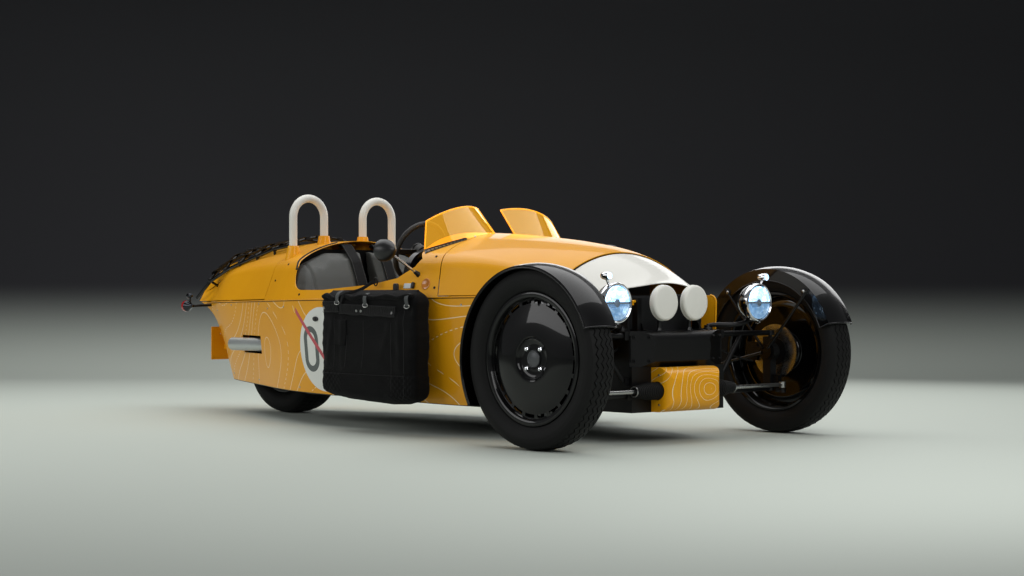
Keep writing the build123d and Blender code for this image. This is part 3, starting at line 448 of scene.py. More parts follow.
def buildSideArtGroup():
    # Masks in the side's plane: pale contour lines, a disc, a numeral and a slanted stripe.
    art = sideArt
    tree, given, out = newGroup("sideArt", [("LineScale", "NodeSocketFloat", art["lineScale"]),
        ("LineCount", "NodeSocketFloat", art["lineCount"]),
        ("LineHalf", "NodeSocketFloat", art["lineHalf"])],
        [(n, "NodeSocketFloat") for n in ("Lines", "Disc", "Numeral", "Stripe")])
    place = addNode(tree, "ShaderNodeTexCoord").outputs["Object"]
    split = addNode(tree, "ShaderNodeSeparateXYZ", {0: place})
    x, y, z = split.outputs
    flatPlace = addNode(tree, "ShaderNodeCombineXYZ", {0: x, 1: mathNode(tree, "MULTIPLY", mathNode(
        tree, "SIGN", y), 0.35), 2: z}).outputs[0]
    def levelAt(shift):
        moved = addNode(tree, "ShaderNodeVectorMath", {0: flatPlace, 1: shift}, operation="ADD").outputs[0]
        hills = addNode(tree, "ShaderNodeTexNoise", {"Vector": moved, "Scale": given.outputs["LineScale"],
            "Detail": 0.0, "Distortion": 0.35})
        return mathNode(tree, "MULTIPLY", hills.outputs["Fac"], given.outputs["LineCount"])

    step = art["sampleStep"]
    level = levelAt((0, 0, 0))
    slopes = [mathNode(tree, "POWER", mathNode(tree, "DIVIDE",
        mathNode(tree, "SUBTRACT", levelAt(shift), level), step), 2.0)
        for shift in ((step, 0, 0), (0, 0, step))]
    slope = mathNode(tree, "MAXIMUM", mathNode(tree, "SQRT", mathNode(tree, "ADD", *slopes)), 0.8)
    away = mathNode(tree, "ABSOLUTE", mathNode(tree, "SUBTRACT", mathNode(tree, "FRACT", level), 0.5))
    near = mathNode(tree, "LESS_THAN", mathNode(tree, "DIVIDE", away, slope), given.outputs["LineHalf"])
    # every third line is broken into dashes
    third = mathNode(tree, "LESS_THAN", mathNode(tree, "MODULO", mathNode(tree, "FLOOR", level), 3.0), 0.5)
    beat = mathNode(tree, "GREATER_THAN", mathNode(tree, "FRACT", mathNode(tree, "MULTIPLY", mathNode(
        tree, "ADD", x, z), 26.0)), 0.5)
    gap = mathNode(tree, "MULTIPLY", third, beat)
    lines = mathNode(tree, "MULTIPLY", near, mathNode(tree, "SUBTRACT", 1.0, gap))
    tree.links.new(lines, out.inputs["Lines"])
    fromX = mathNode(tree, "SUBTRACT", x, axleX + art["discCentre"][0])
    fromZ = mathNode(tree, "SUBTRACT", z, art["discCentre"][1])
    far = mathNode(tree, "SQRT", mathNode(tree, "ADD", mathNode(tree, "POWER", fromX, 2.0),
        mathNode(tree, "POWER", fromZ, 2.0)))
    tree.links.new(mathNode(tree, "LESS_THAN", far, art["discRadius"]), out.inputs["Disc"])
    # the numeral is a stadium ring: distance to an upright line, less the radius
    halfWide, halfHigh = art["numeralHalf"]
    straight = halfHigh - halfWide
    numeralX = mathNode(tree, "SUBTRACT", fromX, art["numeralAt"])
    clampZ = mathNode(tree, "MINIMUM", mathNode(tree, "MAXIMUM", fromZ, -straight), straight)
    overZ = mathNode(tree, "SUBTRACT", fromZ, clampZ)
    reach = mathNode(tree, "SQRT", mathNode(tree, "ADD", mathNode(tree, "POWER", numeralX, 2.0),
        mathNode(tree, "POWER", overZ, 2.0)))
    inStroke = mathNode(tree, "LESS_THAN", mathNode(tree, "ABSOLUTE", mathNode(
        tree, "SUBTRACT", reach, halfWide - art["numeralStroke"] / 2)), art["numeralStroke"] / 2)
    tree.links.new(inStroke, out.inputs["Numeral"])
    (x0, z0), (x1, z1) = art["stripeStart"], art["stripeEnd"]
    length = math.hypot(x1 - x0, z1 - z0)
    across = mathNode(tree, "ADD", mathNode(tree, "MULTIPLY", mathNode(tree, "SUBTRACT", x, axleX + x0),
        (z1 - z0) / length), mathNode(tree, "MULTIPLY", mathNode(tree, "SUBTRACT", z, z0),
        (x0 - x1) / length))
    onStripe = mathNode(tree, "LESS_THAN", mathNode(tree, "ABSOLUTE", across), art["stripeHalf"])
    between = mathNode(tree, "LESS_THAN", mathNode(tree, "ABSOLUTE", mathNode(
        tree, "SUBTRACT", x, axleX + (x0 + x1) / 2)), abs(x1 - x0) / 2)
    tree.links.new(mathNode(tree, "MULTIPLY", onStripe, between), out.inputs["Stripe"])
    return tree


sideArtGroup = buildSideArtGroup()


def buildNoseArtGroup():
    # Pale rings about one side of the lower nose, with a gentle wobble.
    tree, given, out = newGroup("noseArt", [("Pitch", "NodeSocketFloat", 0.026),
        ("LineHalf", "NodeSocketFloat", 0.0009)], [("Lines", "NodeSocketFloat")])
    place = addNode(tree, "ShaderNodeTexCoord").outputs["Object"]
    x, y, z = addNode(tree, "ShaderNodeSeparateXYZ", {0: place}).outputs
    fromY = mathNode(tree, "SUBTRACT", y, 0.095)
    up = mathNode(tree, "SUBTRACT", mathNode(tree, "ADD", z, mathNode(tree, "MULTIPLY", mathNode(
        tree, "SUBTRACT", axleX + 0.168, x), 0.9)), 0.226)
    wobble = addNode(tree, "ShaderNodeTexNoise", {"Vector": place, "Scale": 9.0,
        "Detail": 0.0}).outputs["Fac"]
    ring = mathNode(tree, "SQRT", mathNode(tree, "ADD",
        mathNode(tree, "POWER", mathNode(tree, "MULTIPLY", fromY, 0.72), 2.0),
        mathNode(tree, "POWER", up, 2.0)))
    level = mathNode(tree, "DIVIDE", mathNode(tree, "ADD", ring, mathNode(tree, "MULTIPLY", wobble, 0.045)),
        given.outputs["Pitch"])
    away = mathNode(tree, "ABSOLUTE", mathNode(tree, "SUBTRACT", mathNode(tree, "FRACT", level), 0.5))
    near = mathNode(tree, "LESS_THAN", mathNode(tree, "MULTIPLY", away, given.outputs["Pitch"]),
        given.outputs["LineHalf"])
    tree.links.new(near, out.inputs["Lines"])
    return tree


noseArtGroup = buildNoseArtGroup()


def paintedSide(name, withDisc, artGroup):
    material = bpy.data.materials.new(name)
    material.use_nodes = True
    tree = material.node_tree
    tree.nodes.clear()
    art = addNode(tree, "ShaderNodeGroup", node_tree=artGroup)
    grain = addNode(tree, "ShaderNodeGroup", node_tree=grainGroup)
    grain.inputs["Scale"].default_value = 2200.0
    color = addNode(tree, "ShaderNodeMix", {0: grain.outputs["Mask"], 6: amberDeep, 7: amberColor},
        data_type="RGBA").outputs[2]
    layers = [("Lines", linear(246, 222, 176))]
    if withDisc:
        layers += [("Disc", linear(226, 228, 222)), ("Numeral", linear(92, 98, 96)),
            ("Stripe", linear(196, 84, 92))]
    for label, tint in layers:
        color = addNode(tree, "ShaderNodeMix", {0: art.outputs[label], 6: color, 7: tint},
            data_type="RGBA").outputs[2]
    shader = addNode(tree, "ShaderNodeBsdfPrincipled",
        {"Base Color": color, "Roughness": 0.4, "Specular IOR Level": 0.2, "Coat Weight": 0.3,
        "Coat Roughness": 0.06})
    addNode(tree, "ShaderNodeOutputMaterial", {"Surface": shader.outputs[0]})
    return material


sidePaint = paintedSide("sidePaint", True, sideArtGroup)
nosePaint = paintedSide("nosePaint", False, noseArtGroup)

nodeFinish = {
    sidePaint: ["side_panel_left", "side_panel_right"],
    nosePaint: ["lower_nose"],
    amberPaint: ["bonnet", "cockpit_surround", "tail_lid", "plate_panel"],
    ivoryPaint: ["nose_cowl", "hoop_left", "hoop_right"],
    blackPaint: ["front_guard_left", "front_guard_right", "front_wheel_left", "front_wheel_right",
                 "rear_wheel", "lid_hinge", "luggage_rack", "dashboard"],
    castBlack: ["front_casting"],
    blackSteel: ["floor_pan", "front_box", "rear_bulkhead", "firewall", "bonnet_brackets",
                 "steering_column", "rack_housing",
                 "swing_arm", "suspension_left", "suspension_right", "knuckle_left", "knuckle_right"],
    brightSteel: ["rack_bar"],
    paleSteel: ["exhaust"],
    tyreRubber: ["rear_tyre", "front_tyre_left", "front_tyre_right"],
    engineBlock: ["radiator", "engine"],
    seatLeather: ["seat_back_left", "seat_back_right", "seat_cushion_left", "seat_cushion_right"],
    strapLeather: ["steering_wheel"],
    canvasBlack: ["pannier_left", "pannier_right"],
    amberScreen: ["screen_left", "screen_right"],
    chrome: ["headlamp_left", "headlamp_right"],
    coverCloth: ["rally_lamps"],
    redLens: ["tail_lamp_left", "tail_lamp_right"],
    mouldedBlack: ["mirror_left", "mirror_right"],
}
for material, names in nodeFinish.items():
    for name in names:
        mesh = nodes[name].data
        mesh.materials.clear()
        mesh.materials.append(material)
print("stage: materials")

studio = {"floorHalf": 14.0, "backAt": 7.5, "backHigh": 7.0, "sweep": 2.5}


def buildStudio():
    # A pale floor that curves up behind the car.
    s = studio
    ahead = Vector((-math.sin(view["yaw"]), math.cos(view["yaw"]), 0))
    across = Vector((ahead.y, -ahead.x, 0))
    profile = [(-s["floorHalf"], 0.0), (s["backAt"] - s["sweep"], 0.0)]
    for k in range(1, 13):
        a = math.pi / 2 * k / 12
        profile.append((s["backAt"] - s["sweep"] + s["sweep"] * math.sin(a),
            s["sweep"] * (1 - math.cos(a))))
    profile.append((s["backAt"], s["backHigh"]))
    rows = [[ahead * along + across * side + Vector((0, 0, high)) for side in (-16, 16)] for along,
        high in profile]
    shape = Shape()
    shape.grid(rows)
    floor = addPiece("studioFloor", shape.verts, shape.faces, studioPaper, 60)


view = {"place": (5.54288, -6.02571, 0.62535), "yaw": 0.825489, "pitch": 0.0039369, "lens": 66.59}


def buildCamera():
    data = bpy.data.cameras.new("camera")
    data.lens, data.sensor_width = view["lens"], 36
    camera = bpy.data.objects.new("camera", data)
    camera.location = fromAxle(*view["place"])
    camera.rotation_euler = (math.pi / 2 + view["pitch"], 0, view["yaw"])
    bpy.context.scene.collection.objects.link(camera)
    bpy.context.scene.camera = camera


lamps = {
    "overhead": ((-0.9, 0.6, 4.2), (-0.6, 0, 0.3), (9.0, 4.5), 232),
    "front": ((4.6, -1.2, 2.6), (0.8, 0, 0.5), (2.4, 2.0), 62),
    "side": ((-1.4, -5.4, 2.2), (-0.9, 0, 0.4), (5.0, 1.8), 80),
    "rim": ((-1.6, 4.8, 2.4), (-0.4, 0, 0.6), (6.0, 1.6), 70),
}


def buildLamps():
    for name, (place, aim, size, power) in lamps.items():
        data = bpy.data.lights.new(name, "AREA")
        data.shape, data.size, data.size_y, data.energy = "RECTANGLE", size[0], size[1], power
        lamp = bpy.data.objects.new(name, data)
        lamp.location = place
        lamp.rotation_euler = (Vector(aim) - Vector(place)).to_track_quat("-Z", "Y").to_euler()
        bpy.context.scene.collection.objects.link(lamp)
    world = bpy.data.worlds.new("world")
    world.use_nodes = True
    back = world.node_tree.nodes["Background"]
    back.inputs["Color"].default_value = (0.78, 0.80, 0.82, 1)
    back.inputs["Strength"].default_value = 0.20
    bpy.context.scene.world = world


def studioMaterial(name, floorColor, wallColor, fadeFrom, fadeTo):
    # A pale floor that fades to a dark wall with height.
    material = bpy.data.materials.new(name)
    material.use_nodes = True
    tree = material.node_tree
    tree.nodes.clear()
    place = addNode(tree, "ShaderNodeTexCoord").outputs["Object"]
    high = addNode(tree, "ShaderNodeSeparateXYZ", {0: place}).outputs["Z"]
    fade = addNode(tree, "ShaderNodeMapRange", {"Value": high, "From Min": fadeFrom, "From Max": fadeTo},
        interpolation_type="SMOOTHSTEP").outputs[0]
    color = addNode(tree, "ShaderNodeMix", {0: fade, 6: floorColor, 7: wallColor},
        data_type="RGBA").outputs[2]
    shader = addNode(tree, "ShaderNodeBsdfPrincipled",
        {"Base Color": color, "Roughness": 0.75, "Specular IOR Level": 0.2})
    # seen from its back the wall is clear, so it never hides the car
    back = addNode(tree, "ShaderNodeNewGeometry").outputs["Backfacing"]
    through = addNode(tree, "ShaderNodeBsdfTransparent")
    both = addNode(tree, "ShaderNodeMixShader", {0: back, 1: shader.outputs[0], 2: through.outputs[0]})
    addNode(tree, "ShaderNodeOutputMaterial", {"Surface": both.outputs[0]})
    return material


studioPaper = studioMaterial("studioPaper", linear(196, 203, 194), linear(48, 48, 51), 0.01, 0.75)
buildCamera()
buildStudio()
buildLamps()
bpy.context.scene.view_settings.view_transform = "Standard"
print("stage: studio")
tyreValues = {
    "front": {"radius": 0.370, "half": 0.0685, "treadHalf": 0.058, "drop": 0.010, "bead": 0.2563,
              "beadHalf": 0.039, "wall": 0.012, "grooves": (-0.039, -0.013, 0.013, 0.039), "pitches": 62},
    "rear": {"radius": 0.320, "half": 0.100, "treadHalf": 0.084, "drop": 0.012, "bead": 0.1953,
             "beadHalf": 0.068, "wall": 0.012, "grooves": (-0.062, -0.031, 0.0, 0.031, 0.062),
             "pitches": 54},
    "grooveHalf": 0.0026,
    "grooveDepth": 0.006,
    "zigzag": 0.0068,
    "ridge": 0.0016,
}


def arcThrough(a, b, c, steps):
    # Points on the round arc from a through b to c, in a plane.
    ax, ay, bx, by, cx, cy = *a, *b, *c
    d = 2 * (ax * (by - cy) + bx * (cy - ay) + cx * (ay - by))
    ux = ((ax**2 + ay**2) * (by - cy) + (bx**2 + by**2) * (cy - ay) + (cx**2 + cy**2) * (ay - by)) / d
    uy = ((ax**2 + ay**2) * (cx - bx) + (bx**2 + by**2) * (ax - cx) + (cx**2 + cy**2) * (bx - ax)) / d
    reach = math.hypot(ax - ux, ay - uy)
    start = math.atan2(ay - uy, ax - ux)
    mid = (math.atan2(by - uy, bx - ux) - start) % (2 * math.pi)
    turn = (math.atan2(cy - uy, cx - ux) - start) % (2 * math.pi)
    if mid > turn:
        turn -= 2 * math.pi
    return [(ux + reach * math.cos(start + turn * k / steps),
        uy + reach * math.sin(start + turn * k / steps)) for k in range(steps + 1)]


def tyreProfile(size):
    # (across, radius, zigzag share) from one bead round the tread to the other
    v = tyreValues
    shoulder = size["radius"] - size["drop"]
    flange = size["bead"] + 0.015
    bulge = (size["bead"] + shoulder) / 2 + 0.006
    wall = arcThrough((size["beadHalf"], flange), (size["half"], bulge), (size["treadHalf"], shoulder), 18)
    side = [(size["beadHalf"], size["bead"], 0.0)]
    for k, (across, radius) in enumerate(wall[:-1]):
        lift = v["ridge"] if k in (1, 2, 11, 14) else 0.0
        side.append((across + lift * 0.6, radius, 0.0))
    crown = arcThrough((size["treadHalf"], shoulder), (0, size["radius"]), (-size["treadHalf"], shoulder),
        36)

    def crownAt(across):
        share = min(abs(across) / size["treadHalf"], 1.0)
        index = share * 18
        low = int(min(index, 17))
        (y0, r0), (y1, r1) = crown[18 - low], crown[17 - low]
        return r0 + (r1 - r0) * (abs(across) - y0) / (y1 - y0)

    edges = [size["treadHalf"], size["treadHalf"] - 0.004]
    tread = [(edges[0], shoulder, 0.0), (edges[1], crownAt(edges[1]), 0.0)]
    for groove in sorted(size["grooves"], reverse=True):
        half, deep = v["grooveHalf"], v["grooveDepth"]
        top, low = crownAt(groove + half), crownAt(groove - half)
        tread += [(groove + half + 0.0006, top, 1.0), (groove + half, top - 0.0012, 1.0),
            (groove + half * 0.5, top - deep, 1.0), (groove - half * 0.5, low - deep, 1.0),
            (groove - half, low - 0.0012, 1.0), (groove - half - 0.0006, low, 1.0)]
    tread += [(-edges[1], crownAt(edges[1]), 0.0), (-edges[0], shoulder, 0.0)]
    other = [(-across, radius, share) for across, radius, share in reversed(side)]
    inner = [(-size["beadHalf"] + size["wall"], size["bead"], 0.0),
        (-size["treadHalf"] + size["wall"], shoulder - size["wall"], 0.0),
        (size["treadHalf"] - size["wall"], shoulder - size["wall"], 0.0),
        (size["beadHalf"] - size["wall"], size["bead"], 0.0)]
    return side + tread + other + inner


def buildTyre(name, kind, centre, body, replaced):
    size = tyreValues[kind]
    profile = tyreProfile(size)
    steps = size["pitches"] * 4
    rows = []
    for k in range(steps):
        a = 2 * math.pi * k / steps
        wave = (0.0, 1.0, 0.0, -1.0)[k % 4] * tyreValues["zigzag"]
        rows.append([(centre.x + radius * math.cos(a), centre.y + across + wave * share,
            centre.z + radius * math.sin(a)) for across, radius, share in profile])
    shape = Shape()
    shape.grid(rows, closeRows=True, closeCols=True)
    tyre = shape.piece(name, tyreRubber, 32)
    settle(tyre, body, "tyre", replaced)


for side in sides:
    buildTyre("frontTyre_" + side, "front", frontWheelAt[side], "front_%s_wheel" % side,
        "front_tyre_" + side)
buildTyre("rearTyre", "rear", rearWheelAt, "rear_wheel", "rear_tyre")
print("stage: tyres")

wheelValues = {
    "slots": 20,
    "slotShare": 0.74,
    "slotInner": 0.2235,
    "slotOuter": 0.2375,
    "recessDepth": 0.022,
    "faceOut": 0.047,
    "edgeOut": 0.030,
    "nutCircle": 0.056,
    "nutHalf": 0.0105,
    "discThick": 0.004,
}


def buildWheelDisc(side):
    v = wheelValues
    turn, centre = sides[side], frontWheelAt[side]
    profile = [(0.000, 0.0005), (0.004, 0.020), (0.004, 0.046), (0.0035, 0.060), (0.0045, 0.074),
        (0.008, 0.081)]
    profile = [(v["faceOut"] - v["recessDepth"] + along, radius) for along, radius in profile]
    profile += [(v["faceOut"] - 0.010, 0.0855), (v["faceOut"] - 0.003, 0.0885), (v["faceOut"], 0.0925)]
    fall = v["faceOut"] - v["edgeOut"]
    for k in range(1, 15):
        share = k / 15
        radius = 0.0925 + (v["slotInner"] - 0.0925) * share
        profile.append((v["faceOut"] - fall * share ** 2.2, radius))
    profile += [(v["edgeOut"], v["slotInner"]), (v["edgeOut"] - 0.0015, v["slotOuter"]),
        (v["edgeOut"] - 0.001, 0.2425), (v["edgeOut"] + 0.006, 0.2462)]
    profile += [(v["edgeOut"] + 0.013, 0.2478), (0.0465, 0.2500), (0.0490, 0.2560), (0.0490, 0.2650),
        (0.0475, 0.2692), (0.0450, 0.2700), (0.0425, 0.2680)]
    perSlot = 8
    steps = v["slots"] * perSlot
    solid = int(perSlot * (1 - v["slotShare"]) + 0.5)
    rows = []
    for along, radius in profile:
        rows.append([(centre.x + radius * math.cos(a), centre.y + turn * along,
            centre.z + radius * math.sin(a)) for a in (2 * math.pi * k / steps for k in range(steps))])
    shape = Shape()
    start = shape.grid(rows, closeCols=True)
    slotRow = next(i for i, (_, radius) in enumerate(profile) if radius == v["slotInner"])
    kept = []
    for index, face in enumerate(shape.faces):
        row, col = divmod(index, steps)
        if row == slotRow and col % perSlot >= solid:
            continue
        kept.append(face)
    shape.faces = kept
    shape.cap(start, steps)
    disc = addPiece("wheelDisc_" + side, shape.verts, shape.faces, blackPaint, 28)
    tidyNormals(disc)
    thick = disc.modifiers.new("thick", "SOLIDIFY")
    thick.thickness, thick.offset = v["discThick"], 0.0
    applied(disc)
    tidyNormals(disc)
    disc.data.set_sharp_from_angle(angle=math.radians(28))
    settle(disc, "front_%s_wheel" % side, "black_paint")


def buildWheelBarrel(side):
    # The inner barrel, hub, brake disc and bell seen from inside the car.
    turn, centre = sides[side], frontWheelAt[side]
    axis = (0, turn, 0)
    shape = Shape()
    shape.ring([(-0.048, 0.270), (-0.044, 0.270), (-0.040, 0.257), (0.030, 0.2562), (0.030, 0.2505),
        (-0.036, 0.2505), (-0.044, 0.2560), (-0.048, 0.2610)], centre, axis, 96)
    barrel = shape.piece("wheelBarrel_" + side, blackPaint, 35)
    settle(barrel, "front_%s_wheel" % side, "black_paint", "front_wheel_" + side)
    hub = Shape()
    hub.ring([(-0.022, 0.0171), (0.021, 0.0171), (0.021, 0.050), (0.006, 0.052), (-0.010, 0.050),
        (-0.012, 0.061), (-0.024, 0.063), (-0.026, 0.0545), (-0.022, 0.042)], centre, axis, 64)
    steel = hub.piece("wheelHub_" + side, blackSteel, 35)
    settle(steel, "front_%s_wheel" % side, "black_steel")
    brake = Shape()
    brake.ring([(-0.034, 0.066), (-0.034, 0.1245), (-0.0295, 0.1250), (-0.0295, 0.119), (-0.0285, 0.119),
        (-0.0285, 0.1250), (-0.026, 0.1245), (-0.026, 0.060), (-0.030, 0.060)], centre, axis, 96)
    rotor = brake.piece("brakeDisc_" + side, brightSteel, 35)
    settle(rotor, "front_%s_wheel" % side, "bright_steel")


def buildWheelFittings(side):
    # Nuts on raised seats, the plain centre cap and the valve.
    v = wheelValues
    turn, centre = sides[side], frontWheelAt[side]
    seat = centre.y + turn * (v["faceOut"] - v["recessDepth"] + 0.0035)
    nuts, seats = Shape(), Shape()
    for k in range(4):
        a = math.pi / 4 + math.pi / 2 * k
        place = Vector((centre.x + v["nutCircle"] * math.cos(a), seat,
            centre.z + v["nutCircle"] * math.sin(a)))
        seats.lathe([(0, 0.0135), (0.003, 0.0130), (0.004, 0.0115), (0.004, 0.0)], place, (0, turn, 0), 24)
        nuts.lathe([(0.003, v["nutHalf"]), (0.011, v["nutHalf"]), (0.013, v["nutHalf"] * 0.86)], place,
            (0, turn, 0), 6)
        nuts.lathe([(0.013, 0.0080), (0.0155, 0.0070), (0.0170, 0.0045), (0.0175, 0.0)], place,
            (0, turn, 0), 20)
    settle(seats.piece("nutSeats_" + side, blackPaint, 40), "front_%s_wheel" % side, "black_paint")
    settle(nuts.piece("wheelNuts_" + side, chrome, 30), "front_%s_wheel" % side, "bright_steel")
    cap = Shape()
    place = Vector((centre.x, seat, centre.z))
    cap.lathe([(0, 0.036), (0.008, 0.0355), (0.0105, 0.0335), (0.0105, 0.0300), (0.0085, 0.0285),
        (0.0090, 0.0220), (0.0105, 0.0120), (0.0110, 0.0)], place, (0, turn, 0), 48)
    settle(cap.piece("wheelCap_" + side, capGrey, 30), "front_%s_wheel" % side, "bright_steel")
    valve = Shape()
    lean = Vector((0, turn, -0.55)).normalized()
    foot = Vector((centre.x, centre.y + turn * 0.036, centre.z + 0.2465))
    valve.lathe([(-0.002, 0.0062), (0.006, 0.0058), (0.010, 0.0042), (0.022, 0.0040), (0.0225, 0.0048),
        (0.031, 0.0048), (0.033, 0.0030), (0.033, 0.0)], foot, lean, 16)
    settle(valve.piece("tyreValve_" + side, softRubber, 40), "front_%s_wheel" % side, "black_plastic")


capGrey = surface("capGrey", linear(92, 94, 96), 0.35, metallic=0.7, vary=0.25, roughVary=0.1, bump=0.1,
    groupValues={"Scale": 500.0})
for side in sides:
    buildWheelDisc(side)
    buildWheelBarrel(side)
    buildWheelFittings(side)
print("stage: wheels")

guardValues = {"radius": 0.396, "edgeDrop": 0.012, "half": 0.085, "lip": 0.010, "cheek": 0.055,
    "shift": -0.012, "down": -0.007, "front": 21, "rear": 210, "wire": 0.0034}


def guardPoint(side, across, reach, angle):
    g = guardValues
    a = math.radians(angle)
    wheel = frontWheelAt[side]
    return Vector((wheel.x + g["shift"] + reach * math.cos(a), wheel.y + sides[side] * across,
        wheel.z + g["down"] + reach * math.sin(a)))


def buildGuardTrim(side):
    g = guardValues
    body = "front_%s_upright" % side
    low = g["radius"] - g["edgeDrop"]
    angles = [g["front"] + (g["rear"] - g["front"]) * k / 90 for k in range(91)]
    outer = [guardPoint(side, g["half"] - 0.0015, low - g["lip"], a) for a in angles]
    inner = [guardPoint(side, -g["half"] + 0.0015, low - g["cheek"], a) for a in angles]
    wires = Shape()
    wires.tube(outer, g["wire"], 10).tube(inner, g["wire"], 10)
    for angle in (g["front"], g["rear"]):
        across = [-g["half"] + 2 * g["half"] * k / 20 for k in range(21)]
        line = [guardPoint(side, y, g["radius"] - g["edgeDrop"] * (y / g["half"]) ** 2 - 0.0015, angle)
            for y in across]
        line = [inner[0 if angle == g["front"] else -1]] + line + [outer[0 if angle == g["front"] else -1]]
        wires.tube(line, g["wire"], 10)
    settle(wires.piece("guardWire_" + side, blackPaint, 40), body, "black_paint")
    screws, pads = Shape(), Shape()
    for angle in (52, 129, 191):
        place = guardPoint(side, -g["half"], low - 0.028, angle)
        axis = (0, -sides[side], 0)
        pads.lathe([(0.0, 0.017), (0.002, 0.0165), (0.003, 0.0150), (0.003, 0.0)], place, axis, 28)
        screws.lathe([(0.003, 0.0078), (0.0055, 0.0074), (0.0078, 0.0050), (0.0082, 0.0026),
            (0.0062, 0.0022), (0.0062, 0.0)], place, axis, 20)
    settle(pads.piece("guardPads_" + side, softRubber, 40), body, "black_plastic")
    settle(screws.piece("guardScrews_" + side, brightSteel, 40), body, "bright_steel")


for side in sides:
    buildGuardTrim(side)
print("stage: guards")

headlampValues = {"place": (0.142, 0.449, 0.594), "radius": 0.086, "depth": 0.120, "barHalf": 0.0045}


def reflectorHighlightSurface(name, color, paintedGlow, strength, roughness=0.3):
    # A reflector with a painted highlight: its glow, brighter in its middle and faceted by a cell pattern,
    # stands for light caught in it.
    material = bpy.data.materials.new(name)
    material.use_nodes = True
    tree = material.node_tree
    tree.nodes.clear()
    place = addNode(tree, "ShaderNodeTexCoord").outputs["Object"]
    cells = addNode(tree, "ShaderNodeTexVoronoi", {"Vector": place, "Scale": 60.0}, feature="F1")
    highlightShare = addNode(tree, "ShaderNodeMapRange", {"Value": cells.outputs["Distance"], "From Max": 0.6,
        "To Min": 1.0, "To Max": 0.05}).outputs[0]
    tint = addNode(tree, "ShaderNodeMix", {0: highlightShare, 6: linear(96, 148, 190), 7: paintedGlow},
        data_type="RGBA").outputs[2]
    shader = addNode(tree, "ShaderNodeBsdfPrincipled",
        {"Base Color": color, "Roughness": roughness, "Metallic": 0.6, "Emission Color": tint,
        "Emission Strength": strength})
    addNode(tree, "ShaderNodeOutputMaterial", {"Surface": shader.outputs[0]})
    return material


# painted highlight on the headlamp reflectors: a strong glow for the upper half, a dimmer glow for the
# lower half
lampHighlight = reflectorHighlightSurface("lampHighlight", linear(225, 235, 245), linear(240, 248, 255), 3.6)
lampDimHighlight = reflectorHighlightSurface("lampDimHighlight", linear(176, 194, 210), linear(196, 220, 236), 0.7)
lampReflector = surface("lampReflector", linear(214, 226, 238), 0.22, metallic=0.7, vary=0.2,
    roughVary=0.05, bump=0.3, groupValues={"Scale": 120.0})


